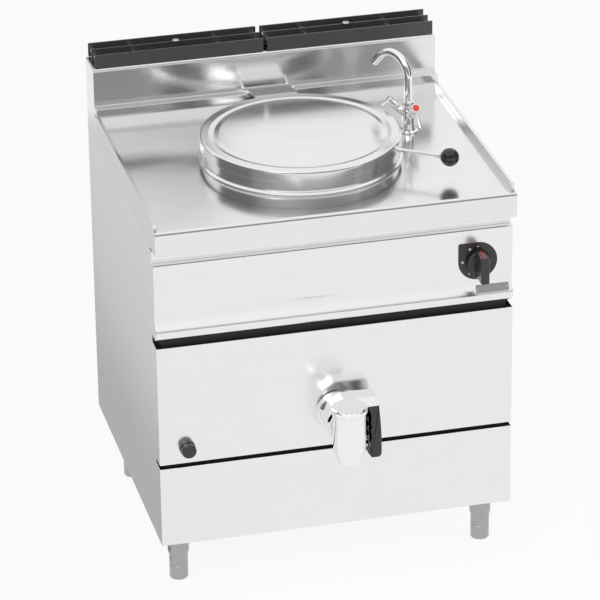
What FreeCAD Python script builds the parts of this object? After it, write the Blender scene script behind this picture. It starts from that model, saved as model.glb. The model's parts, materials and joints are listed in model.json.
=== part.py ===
import FreeCAD, Part
import math
import os

import Sketcher
from FreeCAD import Placement, Rotation, Vector

# A free-standing gas boiling kettle: a cabinet on four levelling feet carries a pressed worktop,
# a round kettle with a hinged lid, a swan-neck water tap, a flue upstand and a large drain tap.
# Millimetres, +Z up, the front faces -Y, and the origin is on the floor under the middle of the box.

# Each row is a name, a number of millimetres or degrees, and what it measures.
DIMENSIONS = [
    ("width", 800, "cabinet and worktop, left to right"),
    ("depth", 730, "worktop front to flue back"),
    ("work_height", 900, "floor to the top of the side rims"),
    ("leg_height", 120, "floor to the underside of the cabinet"),
    ("gauge", 1.5, "panel sheet"),
    ("top_gauge", 2, "worktop, lid and kettle sheet"),
    ("rim_width", 8, "side rim"),
    ("rim_rise", 16, "side rim above the deck"),
    ("rim_start", 19, "worktop front to the side rim's front end"),
    ("nose_r", 10, "worktop's rounded front edge"),
    ("skirt", 44.5, "front face of the worktop"),
    ("hem", 14, "inward hem under the worktop's skirt"),
    ("rear_rise", 13, "deck up to the rear shelf"),
    ("rear_run", 42, "depth of the rear slope"),
    ("ledge_depth", 24, "ledge in front of the flue"),
    ("ledge_rise", 20, "ledge above the rear shelf"),
    ("flue_depth", 84, "flue housing, front to back"),
    ("flue_rise", 101, "flue top above the side rims"),
    ("flue_flange", 11, "inward flange round the flue mouth"),
    ("grate_height", 29, "grate rails"),
    ("grate_lift", 9, "grate rails above the flue top"),
    ("grate_inset", 6, "flue end to grate end"),
    ("grate_gap", 9, "between the two grates"),
    ("rail_width", 3.5, "one grate rail"),
    ("spacer_r", 5, "round spacer bar between a grate's rails"),
    ("spacer_in", 8, "grate's end to its end bar"),
    ("grate_bolt_r", 8, "head of the bolt in the middle of a grate"),
    ("grate_bolt", 3, "height of the bolt's head"),
    ("face_set", 20, "worktop front to the front panels"),
    ("side_set", 64, "worktop front to the side panels"),
    ("return_width", 20, "inward return of the side panels"),
    ("bend", 3, "outer radius of a panel corner"),
    ("low_panel", 190, "lower front panel, height"),
    ("low_gap", 10, "lower shadow gap"),
    ("mid_panel", 283, "middle front panel, height"),
    ("high_gap", 17, "upper shadow gap"),
    ("gap_set", 12, "panel face to the bottom of a shadow gap"),
    ("gap_lap", 4, "shadow-gap channel behind each panel"),
    ("control_gap", 5, "worktop skirt to the control panel"),
    ("control_set", 9, "control panel's flat face behind the bullnose"),
    ("reveal_tall", 29, "recess between the worktop and the control panel's face"),
    ("reveal_deep", 17, "recess between the worktop and the control panel's face"),
    ("nose_band", 62, "height of the bullnose"),
    ("nose_radius", 10, "lower edge of the bullnose"),
    ("control_lip", 11.7, "inward lip under the bullnose"),
    ("tray_flange", 25, "upturned edge of the base tray"),
    ("vent_slots", 7, "number of air slots in the base tray"),
    ("vent_width", 8, "air slot"),
    ("vent_length", 180, "air slot"),
    ("vent_pitch", 40, "air slots, centre to centre"),
    ("lid_front", 102, "worktop front to the lid's edge"),
    ("pan_in", 24, "lid's edge to the inside of the kettle"),
    ("pan_bottom", 375, "floor to the kettle's bottom"),
    ("knuckle_r", 60, "inside radius between kettle wall and bottom"),
    ("neck_in", 5, "lid's edge to the outside of the neck"),
    ("neck_rise", 32.5, "deck to the lid's lower edge"),
    ("neck_flare", 8, "weld flare at the neck's foot"),
    ("neck_lap", 21, "neck hidden inside the lid"),
    ("deck_land", 7, "deck's edge under the neck"),
    ("lid_hinge", 62, "lid's edge to the hinge pin"),
    ("lid_skirt", 25, "lid's side"),
    ("lid_edge", 6, "radius of the lid's upper edge"),
    ("groove_in", 33, "lid's edge to the pressed ring"),
    ("groove_width", 16, "pressed ring in the lid"),
    ("groove_depth", 3, "pressed ring in the lid"),
    ("pin_front", 10, "hinge pin in front of the ledge"),
    ("pin_rise", 6, "hinge pin above the ledge"),
    ("pin_r", 5, "hinge pin"),
    ("pin_fit", 0.06, "hinge pin's radial play"),
    ("barrel_r", 9, "hinge barrel on the lid's arm"),
    ("arm_width", 98, "lid's hinge arm"),
    ("arm_thick", 4, "lid's hinge arm"),
    ("ear_thick", 5, "hinge bracket's ear"),
    ("ear_gap", 0.5, "arm to ear, each side"),
    ("pin_head", 3, "hinge pin's head"),
    ("rod_turn", 36, "lid handle, turned forward from the right"),
    ("rod_r", 4.5, "lid handle's rod"),
    ("rod_below", 9, "lid top to the rod's axis"),
    ("ball_out", 126, "lid's edge to the ball's centre"),
    ("ball_r", 20.5, "ball knob"),
    ("ball_bore", 15, "depth of the rod's seat in the ball"),
    ("jacket_out", 26, "inside of the kettle to the inside of the combustion jacket"),
    ("jacket_wall", 20, "insulated wall of the jacket"),
    ("jacket_bottom", 330, "floor to the jacket's lower edge"),
    ("jacket_drop", 16, "deck to the jacket's top"),
    ("duct_width", 240, "flue duct"),
    ("duct_height", 60, "flue duct, where it leaves the jacket"),
    ("duct_below", 60, "deck to the duct's top"),
    ("duct_stop", 12, "flue top to the duct's end"),
    ("burner_z", 285, "floor to the burner tubes' axis"),
    ("burner_r", 19, "burner tube"),
    ("burner_wall", 1.5, "burner tube"),
    ("burner_pitch", 110, "burner tubes, centre to centre"),
    ("burner_front", 120, "worktop front to the burner tubes' mouths"),
    ("burner_length", 430, "burner tube"),
    ("port_width", 3, "flame slot"),
    ("port_pitch", 22, "flame slots, centre to centre"),
    ("port_count", 14, "flame slots in one tube"),
    ("manifold_set", 80, "worktop front to the gas manifold's axis"),
    ("manifold_r", 11, "gas manifold"),
    ("pipe_wall", 2, "gas and water pipes"),
    ("injector_r", 5, "burner injector"),
    ("support_width", 12, "burner support bars"),
    ("gas_pipe_r", 9, "gas pipes, outside"),
    ("gas_bend", 30, "gas pipes' bends"),
    ("gas_in_side", 60, "right side to the gas inlet"),
    ("gas_in_z", 180, "floor to the gas inlet"),
    ("union_r", 15, "gas inlet union, outside"),
    ("union_bore_r", 10.5, "gas inlet thread"),
    ("union_length", 24, "gas inlet union"),
    ("thread_length", 16, "gas inlet thread"),
    ("knob_in", 79, "right side to the gas knob"),
    ("knob_z", 721, "floor to the gas knob"),
    ("bezel_r", 44, "scale plate under the knob"),
    ("bezel_thick", 2, "scale plate under the knob"),
    ("knob_skirt_r", 27, "gas knob's round skirt"),
    ("knob_skirt", 9, "gas knob's round skirt"),
    ("grip_width", 20, "gas knob's grip bar"),
    ("grip_length", 64, "gas knob's grip bar"),
    ("grip_depth", 46, "gas knob's grip bar"),
    ("knob_travel", 3, "gas knob's push"),
    ("knob_play", 0.8, "room left behind the pushed knob"),
    ("spindle_r", 4, "gas valve's spindle"),
    ("spindle_fit", 0.05, "spindle's radial play"),
    ("valve_width", 50, "gas valve"),
    ("valve_height", 66, "gas valve"),
    ("valve_depth", 46, "gas valve"),
    ("collar_r", 13, "gas valve's collar behind the panel"),
    ("collar_length", 14, "gas valve's collar behind the panel"),
    ("spark_in", 62, "left side to the igniter button"),
    ("spark_z", 357.5, "floor to the igniter button"),
    ("spark_collar_r", 17.8, "igniter's collar"),
    ("spark_collar", 9, "igniter's collar in front of the panel"),
    ("spark_r", 16.4, "igniter's button"),
    ("spark_play", 0.4, "igniter button in its collar"),
    ("spark_reach", 24, "panel to the button's front"),
    ("spark_travel", 6, "igniter button's push"),
    ("spark_stem_r", 3, "igniter button's stem"),
    ("spark_body_r", 11, "igniter's body behind the panel"),
    ("spark_body", 44, "igniter's body behind the panel"),
    ("tap_x", 0, "drain tap, from the middle"),
    ("tap_z", 400, "floor to the drain tap's axis"),
    ("tap_out", 84, "worktop front to the drain spout's axis"),
    ("drain_r", 24, "drain pipe, outside"),
    ("drain_wall", 3, "drain pipe"),
    ("drain_hole_r", 31, "hole for the drain pipe in the middle panel"),
    ("flange_r", 45, "drain flange"),
    ("flange_step", 8, "drain flange's rim outside its hub"),
    ("flange_rim", 12, "drain flange's rim, front to back"),
    ("flange_thick", 21, "drain flange and its hub, front to back"),
    ("barrel_out_r", 29, "drain tap's barrel"),
    ("plug_r", 21, "drain tap's plug"),
    ("plug_fit", 0.05, "plug's radial play"),
    ("plug_wall", 4, "drain tap's plug"),
    ("port_r", 15, "port in the plug's side"),
    ("spout_r", 36.5, "drain spout"),
    ("spout_bore_r", 19, "drain spout's bore"),
    ("outlet_depth", 40, "drain spout's bore"),
    ("spout_mouth_r", 24.5, "drain spout at its lower end"),
    ("spout_taper", 31, "height of the spout's taper"),
    ("spout_drop", 70, "drain tap's axis to the spout's mouth"),
    ("cap_r", 40, "drain tap's cap"),
    ("cap_seat", 48, "drain tap's axis to the cap's seat"),
    ("cap_height", 17, "drain tap's cap"),
    ("ring_r", 42, "lever's ring"),
    ("ring_thick", 38, "lever's ring and arm"),
    ("ring_set", 5, "worktop front to the lever's ring, forward"),
    ("ring_play", 0.3, "lever's ring round the barrel"),
    ("arm_reach", 78, "tap's axis to the lever arm's end"),
    ("arm_top", 60, "tap's axis to the lever arm's top"),
    ("arm_tall", 26, "lever arm"),
    ("lever_pin_r", 4, "pin from the lever to the plug"),
    ("lever_swing", 90, "quarter turn of the drain tap"),
    ("handle_x", 68.5, "tap's axis to the black grip"),
    ("handle_width", 31, "black grip"),
    ("handle_length", 126, "black grip"),
    ("handle_depth", 24, "black grip, front to back"),
    ("finger_depth", 5, "finger hollow in the grip"),
    ("water_out", 47, "neck to the water tap"),
    ("water_back", 70, "kettle's axis to the water tap, backward"),
    ("water_base_r", 22, "water tap's foot"),
    ("water_base", 5, "water tap's foot"),
    ("water_body_r", 14, "water tap's body"),
    ("water_body", 50, "water tap's body"),
    ("cone_height", 9, "collar on the water tap's body"),
    ("spout_tube_r", 9, "swan neck, outside"),
    ("spout_tube_wall", 1.5, "swan neck"),
    ("spout_arc_r", 48, "swan neck's arch"),
    ("spout_top", 127, "deck to the start of the arch"),
    ("spout_sweep", 138, "swan neck's arch"),
    ("spout_end", 29, "swan neck's straight end"),
    ("spout_turn", 122, "swan neck's direction from the right"),
    ("swivel_r", 6, "swan neck's stem in the body"),
    ("swivel_fit", 0.05, "swan neck stem's radial play"),
    ("swivel_length", 16, "swan neck's stem in the body"),
    ("valve_rise", 33, "deck to where the tap valves cross"),
    ("valve_out", 32, "tap's axis to the end of a valve neck"),
    ("valve_neck_r", 8.5, "tap valve's neck"),
    ("hub_r", 11, "water handle's hub"),
    ("hub_length", 30, "water handle's hub"),
    ("hub_gap", 0.5, "handle hub to valve neck"),
    ("stem_r", 3, "water handle's stem"),
    ("stem_fit", 0.05, "water handle stem's radial play"),
    ("stem_length", 16, "water handle's stem in the neck"),
    ("index_r", 10, "coloured disc on a handle"),
    ("index_thick", 1.5, "coloured disc on a handle"),
    ("lever_r", 2.6, "water handle's lever"),
    ("lever_length", 46, "water handle's lever"),
    ("shank_r", 10, "water tap's shank"),
    ("shank_length", 36, "water tap's shank under the deck"),
    ("shank_nut_r", 17, "water tap's nut"),
    ("shank_nut", 9, "water tap's nut"),
    ("water_pipe_r", 4, "water pipes"),
    ("water_pipe_gap", 10, "between the two water pipes' axes"),
    ("water_in_z", 240, "floor to the water inlets"),
    ("water_bend", 25, "water pipes' bends"),
    ("foot_in", 50, "cabinet side to a foot"),
    ("foot_front", 90, "worktop front to the front feet"),
    ("foot_back", 140, "flue back to the rear feet"),
    ("sleeve_r", 24, "leg sleeve"),
    ("sleeve_length", 62, "leg sleeve"),
    ("sleeve_taper", 12, "leg sleeve's lower cone"),
    ("sleeve_plate", 5, "leg sleeve's plate"),
    ("sleeve_plate_r", 36, "leg sleeve's plate"),
    ("foot_r", 21, "levelling foot"),
    ("foot_stem_r", 16, "levelling foot's stem"),
    ("foot_fit", 0.08, "levelling foot stem's radial play"),
    ("foot_seat", 0.3, "foot's shoulder to its sleeve"),
    ("foot_travel", 30, "levelling foot's adjustment"),
    ("foot_stem_top", 10, "top of the stem below the sleeve's top"),
    ("foot_edge", 3, "levelling foot's lower edge"),
]

doc = FreeCAD.newDocument("boiling_kettle")


class Size:
    """A number together with the sheet formula that gives it, so that arithmetic keeps both."""

    def __init__(self, value, text):
        self.value = float(value)
        self.text = text

    def __float__(self):
        return self.value

    def __add__(self, other):
        return Size(self.value + float(other), f"({self.text} + {formula(other)})")

    def __radd__(self, other):
        return Size(float(other) + self.value, f"({formula(other)} + {self.text})")

    def __sub__(self, other):
        return Size(self.value - float(other), f"({self.text} - {formula(other)})")

    def __rsub__(self, other):
        return Size(float(other) - self.value, f"({formula(other)} - {self.text})")

    def __mul__(self, other):
        return Size(self.value * float(other), f"({self.text} * {formula(other)})")

    def __rmul__(self, other):
        return Size(float(other) * self.value, f"({formula(other)} * {self.text})")

    def __truediv__(self, other):
        return Size(self.value / float(other), f"({self.text} / {formula(other)})")

    def __neg__(self):
        return Size(-self.value, f"(-1 * {self.text})")


def formula(number):
    """The text of a number for a formula."""
    return number.text if isinstance(number, Size) else f"({float(number)!r})"


def fill_sheet():
    """Write the driving dimensions into the document's sheet and return them by name."""
    sheet = doc.addObject("Spreadsheet::Sheet", "Sizes")
    for row, (alias, number, meaning) in enumerate(DIMENSIONS, start=1):
        sheet.set(f"A{row}", meaning)
        sheet.set(f"B{row}", str(number))
        sheet.setAlias(f"B{row}", alias)
    doc.recompute()
    return {row[0]: Size(sheet.get(row[0]), f"Sizes.{row[0]}") for row in DIMENSIONS}


class Names:
    """Gives the sheet's values as attributes."""

    def __init__(self, named):
        self.__dict__.update(named)


S = Names(fill_sheet())

# Places that several pieces share, from the driving dimensions
HALF = S.width / 2
FRONT = (S.tap_out + S.cap_r - S.depth) / 2
BACK = FRONT + S.depth
CABINET = S.leg_height
RIM = S.work_height
DECK = RIM - S.rim_rise
EDGE = DECK - S.nose_r
SKIRT = EDGE - S.skirt
FACE = FRONT + S.face_set
SIDE = FRONT + S.side_set
LOW_TOP = CABINET + S.low_panel
MID_BOTTOM = LOW_TOP + S.low_gap
MID_TOP = MID_BOTTOM + S.mid_panel
CONTROL_BOTTOM = MID_TOP + S.high_gap
CONTROL_TOP = SKIRT - S.control_gap
CONTROL_FACE = FACE + S.control_set
FLUE = BACK - S.flue_depth
FLUE_TOP = RIM + S.flue_rise
SHELF = DECK + S.rear_rise
LEDGE = FLUE - S.ledge_depth
LEDGE_TOP = SHELF + S.ledge_rise
PIN_Y = LEDGE - S.pin_front
LID_R = (PIN_Y - S.lid_hinge - FRONT - S.lid_front) / 2
PAN_Y = FRONT + S.lid_front + LID_R
PAN_R = LID_R - S.pan_in
NECK_R = LID_R - S.neck_in
GROOVE_R = LID_R - S.groove_in
JACKET_R = PAN_R + S.jacket_out
BALL_REACH = LID_R + S.ball_out
LID_BOTTOM = DECK + S.neck_rise
LID_TOP = LID_BOTTOM + S.lid_skirt
PAN_RIM = LID_BOTTOM + S.neck_lap
PIN_Z = LEDGE_TOP + S.pin_rise
ROD_Z = LID_TOP - S.rod_below
SPOUT_Y = FRONT - S.tap_out
WATER_X = NECK_R + S.water_out
WATER_Y = PAN_Y + S.water_back
KNOB_X = HALF - S.knob_in
SPARK_X = -HALF + S.spark_in
GAS_X = HALF - S.gas_in_side
FOOT_X = HALF - S.foot_in

NODES = []
AXES = {"x": ("YZ_Plane", 1), "y": ("XZ_Plane", -1), "z": ("XY_Plane", 1)}


def bind(item, prop, number):
    """Set a property to a number, or to a formula of the sheet."""
    if isinstance(number, Size):
        item.setExpression(prop, number.text)
    else:
        setattr(item, prop, number)


def node(item, label):
    """Name a finished piece and keep it for the export."""
    item.Label = label
    NODES.append(item)
    return item


def new_body(name):
    """An empty body."""
    return doc.addObject("PartDesign::Body", name)


def new_sketch(body, role, offset):
    """A sketch on one of the body's own planes, moved by an offset in the plane's own axes."""
    sketch = body.newObject("Sketcher::SketchObject", "outline")
    plane = next(item for item in body.Origin.OriginFeatures if item.Role == role)
    sketch.AttachmentSupport = [(plane, "")]
    sketch.MapMode = "FlatFace"
    for letter, number in zip("xyz", offset):
        if isinstance(number, Size):
            sketch.setExpression(f"AttachmentOffset.Base.{letter}", number.text)
    return sketch


def arc_between(start, end, radius, side):
    """The shorter arc from start to end, its centre to the left for side 1 and right for -1."""
    chord = end - start
    rise = math.sqrt(max(radius ** 2 - (chord.Length / 2) ** 2, 0))
    left = Vector(-chord.y, chord.x, 0)
    left.normalize()
    centre = (start + end) / 2 + left * rise * side
    first, last = (start, end) if side > 0 else (end, start)
    angles = [math.atan2(spot.y - centre.y, spot.x - centre.x) for spot in (first, last)]
    return Part.ArcOfCircle(Part.Circle(centre, Vector(0, 0, 1), radius), *angles)


def draw_loop(sketch, corners):
    """A closed outline. A corner (u, v, radius, side) starts an arc, and (u, v) a straight edge."""
    base = sketch.GeometryCount
    spots = [Vector(float(corner[0]), float(corner[1]), 0) for corner in corners]
    edges = []
    ends = []
    for index, corner in enumerate(corners):
        start, end = spots[index], spots[(index + 1) % len(spots)]
        if len(corner) == 2:
            edges.append(Part.LineSegment(start, end))
            ends.append((1, 2))
        else:
            edges.append(arc_between(start, end, float(corner[2]), corner[3]))
            ends.append((1, 2) if corner[3] > 0 else (2, 1))
    sketch.addGeometry(edges)
    rules = []
    formulas = []
    for index, corner in enumerate(corners):
        after = (index + 1) % len(corners)
        rules.append(Sketcher.Constraint("Coincident", base + index, ends[index][1],
                                         base + after, ends[after][0]))
        for kind, number in zip(("DistanceX", "DistanceY"), corner[:2]):
            rules.append(Sketcher.Constraint(kind, base + index, ends[index][0], float(number)))
            formulas.append((len(rules) - 1, number))
        if len(corner) > 2:
            rules.append(Sketcher.Constraint("Radius", base + index, float(corner[2])))
            formulas.append((len(rules) - 1, corner[2]))
    place_rules(sketch, rules, formulas)


def draw_circle(sketch, u, v, radius):
    """A circle with its centre at u, v."""
    base = sketch.GeometryCount
    sketch.addGeometry(Part.Circle(Vector(float(u), float(v), 0), Vector(0, 0, 1), float(radius)))
    rules = [Sketcher.Constraint("DistanceX", base, 3, float(u)),
             Sketcher.Constraint("DistanceY", base, 3, float(v)),
             Sketcher.Constraint("Radius", base, float(radius))]
    place_rules(sketch, rules, list(enumerate((u, v, radius))))


def place_rules(sketch, rules, formulas):
    """Add the constraints and bind those that come from the sheet."""
    first = sketch.ConstraintCount
    sketch.addConstraint(rules)
    for index, number in formulas:
        if isinstance(number, Size):
            sketch.setExpression(f"Constraints[{first + index}]", number.text)


def draw(sketch, shapes):
    """Draw each outline: a list of corners, or a circle as a tuple of three numbers."""
    for shape in shapes:
        if isinstance(shape, tuple):
            draw_circle(sketch, *shape)
        else:
            draw_loop(sketch, shape)


def rectangle(u_low, v_low, u_high, v_high):
    """The corners of a rectangle."""
    return [(u_low, v_low), (u_high, v_low), (u_high, v_high), (u_low, v_high)]


def prism(body, kind, axis, low, high, shapes):
    """Add or cut a straight prism along an axis, from one coordinate to a higher one."""
    role, sense = AXES[axis]
    start = low if sense > 0 else 0 - high
    sketch = new_sketch(body, role, (0, 0, start + 0 * S.width))
    draw(sketch, shapes)
    feature = body.newObject(f"PartDesign::{kind}", kind)
    feature.Profile = sketch
    bind(feature, "Length", high - low)
    if kind == "Pocket":
        feature.Reversed = True
    body.Tip = feature
    return feature


def add(body, axis, low, high, *shapes):
    """Add a prism. Outlines are in (y, z) along x, (x, z) along y, and (x, y) along z."""
    return prism(body, "Pad", axis, low, high, shapes)


def cut(body, axis, low, high, *shapes):
    """Cut a prism."""
    return prism(body, "Pocket", axis, low, high, shapes)


def turned(body, kind, axis, at, shapes):
    """Turn outlines of (radius, height) about an axis through a point."""
    if axis == "z":
        role, offset, line = "XZ_Plane", (at[0], 0, 0 - at[1]), "V_Axis"
    elif axis == "y":
        role, offset, line = "XY_Plane", (at[0], 0, at[1]), "V_Axis"
    else:
        role, offset, line = "XY_Plane", (0, at[0], at[1]), "H_Axis"
    sketch = new_sketch(body, role, offset)
    draw(sketch, shapes)
    feature = body.newObject(f"PartDesign::{kind}", kind)
    feature.Profile = sketch
    feature.ReferenceAxis = (sketch, [line])
    feature.Angle = 360
    body.Tip = feature
    return feature


def turn(body, axis, at, *shapes):
    """Add a turned solid."""
    return turned(body, "Revolution", axis, at, shapes)


def groove(body, axis, at, *shapes):
    """Cut a turned solid."""
    return turned(body, "Groove", axis, at, shapes)


def soften(body, radius, chosen):
    """Round the edges of the body's last feature that a test chooses."""
    doc.recompute()
    base = body.Tip
    names = [f"Edge{index}" for index, edge in enumerate(base.Shape.Edges, start=1) if chosen(edge)]
    feature = body.newObject("PartDesign::Fillet", "Fillet")
    feature.Refine = False
    feature.Base = (base, names)
    bind(feature, "Radius", radius)
    body.Tip = feature
    return feature


def runs_along(edge, axis):
    """Whether an edge is a straight line along an axis."""
    if edge.Curve.TypeId != "Part::GeomLine":
        return False
    first, last = edge.Vertexes[0].Point, edge.Vertexes[-1].Point
    direction = (last - first).normalize()
    return abs(abs(getattr(direction, axis)) - 1) < 1e-6


def solid(shape, label):
    """A piece whose shape is worked out here from the sheet's values."""
    item = doc.addObject("Part::Feature", label)
    item.Shape = shape
    return item


def boolean(kind, base, tool, name):
    """A cut or a common of two pieces."""
    item = doc.addObject(f"Part::{kind}", name)
    item.Base = base
    item.Tool = tool
    return item


def rod(name, radius, height, spot, direction=Vector(0, 0, 1), angle=None):
    """A cylinder from a point in a direction, as long as height."""
    item = doc.addObject("Part::Cylinder", name)
    bind(item, "Radius", radius)
    bind(item, "Height", height)
    if angle is not None:
        bind(item, "Angle", angle)
    item.Placement = Placement(Vector(), Rotation(Vector(0, 0, 1), direction))
    for letter, number in zip("xyz", spot):
        bind_place(item, letter, number)
    return item


def bind_place(item, letter, number):
    """Set one coordinate of a piece's place."""
    item.setExpression(f"Placement.Base.{letter}", formula(number))


def pipe_path(spots, bend):
    """Straight runs through the spots, joined by tangent arcs."""
    points = [Vector(*[float(number) for number in spot]) for spot in spots]
    edges = []
    start = points[0]
    for before, corner, after in zip(points, points[1:], points[2:]):
        inward = (before - corner).normalize()
        outward = (after - corner).normalize()
        half = inward.getAngle(outward) / 2
        back = float(bend) / math.tan(half)
        middle = corner + (inward + outward).normalize() * (float(bend) / math.sin(half) - float(bend))
        edges.append(Part.LineSegment(start, corner + inward * back).toShape())
        edges.append(Part.Arc(corner + inward * back, middle, corner + outward * back).toShape())
        start = corner + outward * back
    edges.append(Part.LineSegment(start, points[-1]).toShape())
    return Part.Wire(edges)


def swept(path, radius):
    """A round bar along a path."""
    first = path.OrderedEdges[0]
    start = first.valueAt(first.FirstParameter)
    circle = Part.Wire(Part.Circle(start, first.tangentAt(first.FirstParameter), float(radius)).toShape())
    return path.makePipeShell([circle], True, False)


def pipe(label, spots, radius, wall, bend):
    """A hollow pipe through the spots."""
    path = pipe_path(spots, bend)
    outside = swept(path, radius)
    return solid(outside.cut(swept(path, float(radius) - float(wall))), label)


def group(label, items):
    """Several separate solids in one piece."""
    item = doc.addObject("Part::Compound", label)
    item.Links = items
    return node(item, label)


def make_side_panels():
    """Two folded side walls with inward returns at the front and the back."""
    for label, side in (("left_side_panel", -1), ("right_side_panel", 1)):
        outer = side * HALF
        inner = side * (HALF - S.gauge)
        lip = side * (HALF - S.return_width)
        body = new_body(label)
        add(body, "z", CABINET, SKIRT, [
            (outer, SIDE), (lip, SIDE), (lip, SIDE + S.gauge), (inner, SIDE + S.gauge),
            (inner, BACK - S.gauge), (lip, BACK - S.gauge), (lip, BACK), (outer, BACK)])
        node(body, label)


def make_rear_panel():
    """A flat back wall between the side panels' returns, with holes for the pipes."""
    body = new_body("rear_panel")
    edge = HALF - S.return_width
    add(body, "y", BACK - S.gauge, BACK, rectangle(-edge, CABINET, edge, SKIRT),)
    cut(body, "y", BACK - S.gauge - 1, BACK + 1,
        (GAS_X, S.gas_in_z, S.union_r),
        (WATER_X - S.water_pipe_gap / 2, S.water_in_z, S.water_pipe_r),
        (WATER_X + S.water_pipe_gap / 2, S.water_in_z, S.water_pipe_r))
    node(body, "rear_panel")


def make_base_tray():
    """The cabinet's floor, a tray with upturned edges and air slots for the burner."""
    body = new_body("base_tray")
    side = HALF - S.gauge
    front = FACE + S.gauge
    rear = BACK - S.gauge
    add(body, "z", CABINET, CABINET + S.tray_flange, rectangle(-side, front, side, rear))
    cut(body, "z", CABINET + S.gauge, CABINET + S.tray_flange + 1,
        rectangle(-side + S.gauge, front + S.gauge, side - S.gauge, rear - S.gauge))
    first = -1 * S.vent_pitch * (S.vent_slots - 1) / 2
    slots = []
    for index in range(int(float(S.vent_slots))):
        x = first + index * S.vent_pitch
        slots.append(rectangle(x - S.vent_width / 2, PAN_Y - S.vent_length / 2,
                               x + S.vent_width / 2, PAN_Y + S.vent_length / 2))
    cut(body, "z", CABINET - 1, CABINET + S.gauge + 1, *slots)
    notches = []
    for side in (-1, 1):
        ends = sorted((side * (HALF - S.return_width - 0.5), side * HALF), key=float)
        notches.append(rectangle(ends[0], SIDE - 0.5, ends[1], SIDE + S.gauge + 0.5))
    cut(body, "z", CABINET - 1, CABINET + S.tray_flange + 1, *notches)
    node(body, "base_tray")


def folded_front(label, bottom, top, setback, edge):
    """A front panel whose two ends fold back to the side panels."""
    body = new_body(label)
    front = FACE + setback
    add(body, "z", bottom, top, [
        (-edge, SIDE), (-edge, front), (edge, front), (edge, SIDE),
        (edge - S.gauge, SIDE), (edge - S.gauge, front + S.gauge),
        (-edge + S.gauge, front + S.gauge), (-edge + S.gauge, SIDE)])
    soften(body, S.bend, lambda line: runs_along(line, "z")
           and abs(line.CenterOfMass.y - float(front)) < 0.01)
    return body


def make_front_panels():
    """The lower panel, the middle panel with its two holes, and the two dark channels between."""
    node(folded_front("lower_front_panel", CABINET, LOW_TOP, 0, HALF), "lower_front_panel")
    middle = folded_front("middle_front_panel", MID_BOTTOM, MID_TOP, 0, HALF)
    cut(middle, "y", FACE - 1, FACE + S.gauge + 1,
        (S.tap_x, S.tap_z, S.drain_hole_r), (SPARK_X, S.spark_z, S.spark_body_r))
    node(middle, "middle_front_panel")
    inset = HALF - S.gap_set
    for label, low, high in (("lower_gap_channel", LOW_TOP, MID_BOTTOM),
                             ("upper_gap_channel", MID_TOP, CONTROL_BOTTOM)):
        node(folded_front(label, low - S.gap_lap, high + S.gap_lap, S.gap_set, inset), label)


def make_control_panel():
    """The upper panel: a recess under the worktop, a flat face and a bullnose at its foot."""
    body = new_body("control_panel")
    rise = CONTROL_BOTTOM + S.nose_band
    belly = CONTROL_BOTTOM + S.nose_radius
    swell = S.nose_band * 0.55
    fold = CONTROL_TOP - S.reveal_tall
    web = CONTROL_FACE + S.reveal_deep
    outside = [
        (web, CONTROL_TOP), (web, fold), (CONTROL_FACE + S.bend, fold, S.bend, 1),
        (CONTROL_FACE, fold - S.bend), (CONTROL_FACE, rise, swell, -1),
        (FACE, belly + S.nose_radius), (FACE, belly, S.nose_radius, 1),
        (FACE + S.nose_radius, CONTROL_BOTTOM)]
    inside = [
        (FACE + S.nose_radius, CONTROL_BOTTOM + S.gauge, S.nose_radius - S.gauge, -1),
        (FACE + S.gauge, belly), (FACE + S.gauge, belly + S.nose_radius, swell, 1),
        (CONTROL_FACE + S.gauge, rise), (CONTROL_FACE + S.gauge, fold - S.bend, S.bend - S.gauge, -1),
        (CONTROL_FACE + S.bend, fold - S.gauge), (web + S.gauge, fold - S.gauge),
        (web + S.gauge, CONTROL_TOP)]
    lip = [(FACE + S.control_lip, CONTROL_BOTTOM), (FACE + S.control_lip, CONTROL_BOTTOM + S.gauge)]
    add(body, "x", -HALF, HALF, outside + lip + inside)
    for low, high in ((-HALF, -HALF + S.gauge), (HALF - S.gauge, HALF)):
        add(body, "x", low, high, outside + [(SIDE, CONTROL_BOTTOM), (SIDE, CONTROL_TOP)])
    cut(body, "y", CONTROL_FACE - 1, CONTROL_FACE + S.gauge + 1,
        (KNOB_X, S.knob_z, S.spindle_r + 2 * S.spindle_fit))
    node(body, "control_panel")


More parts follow.
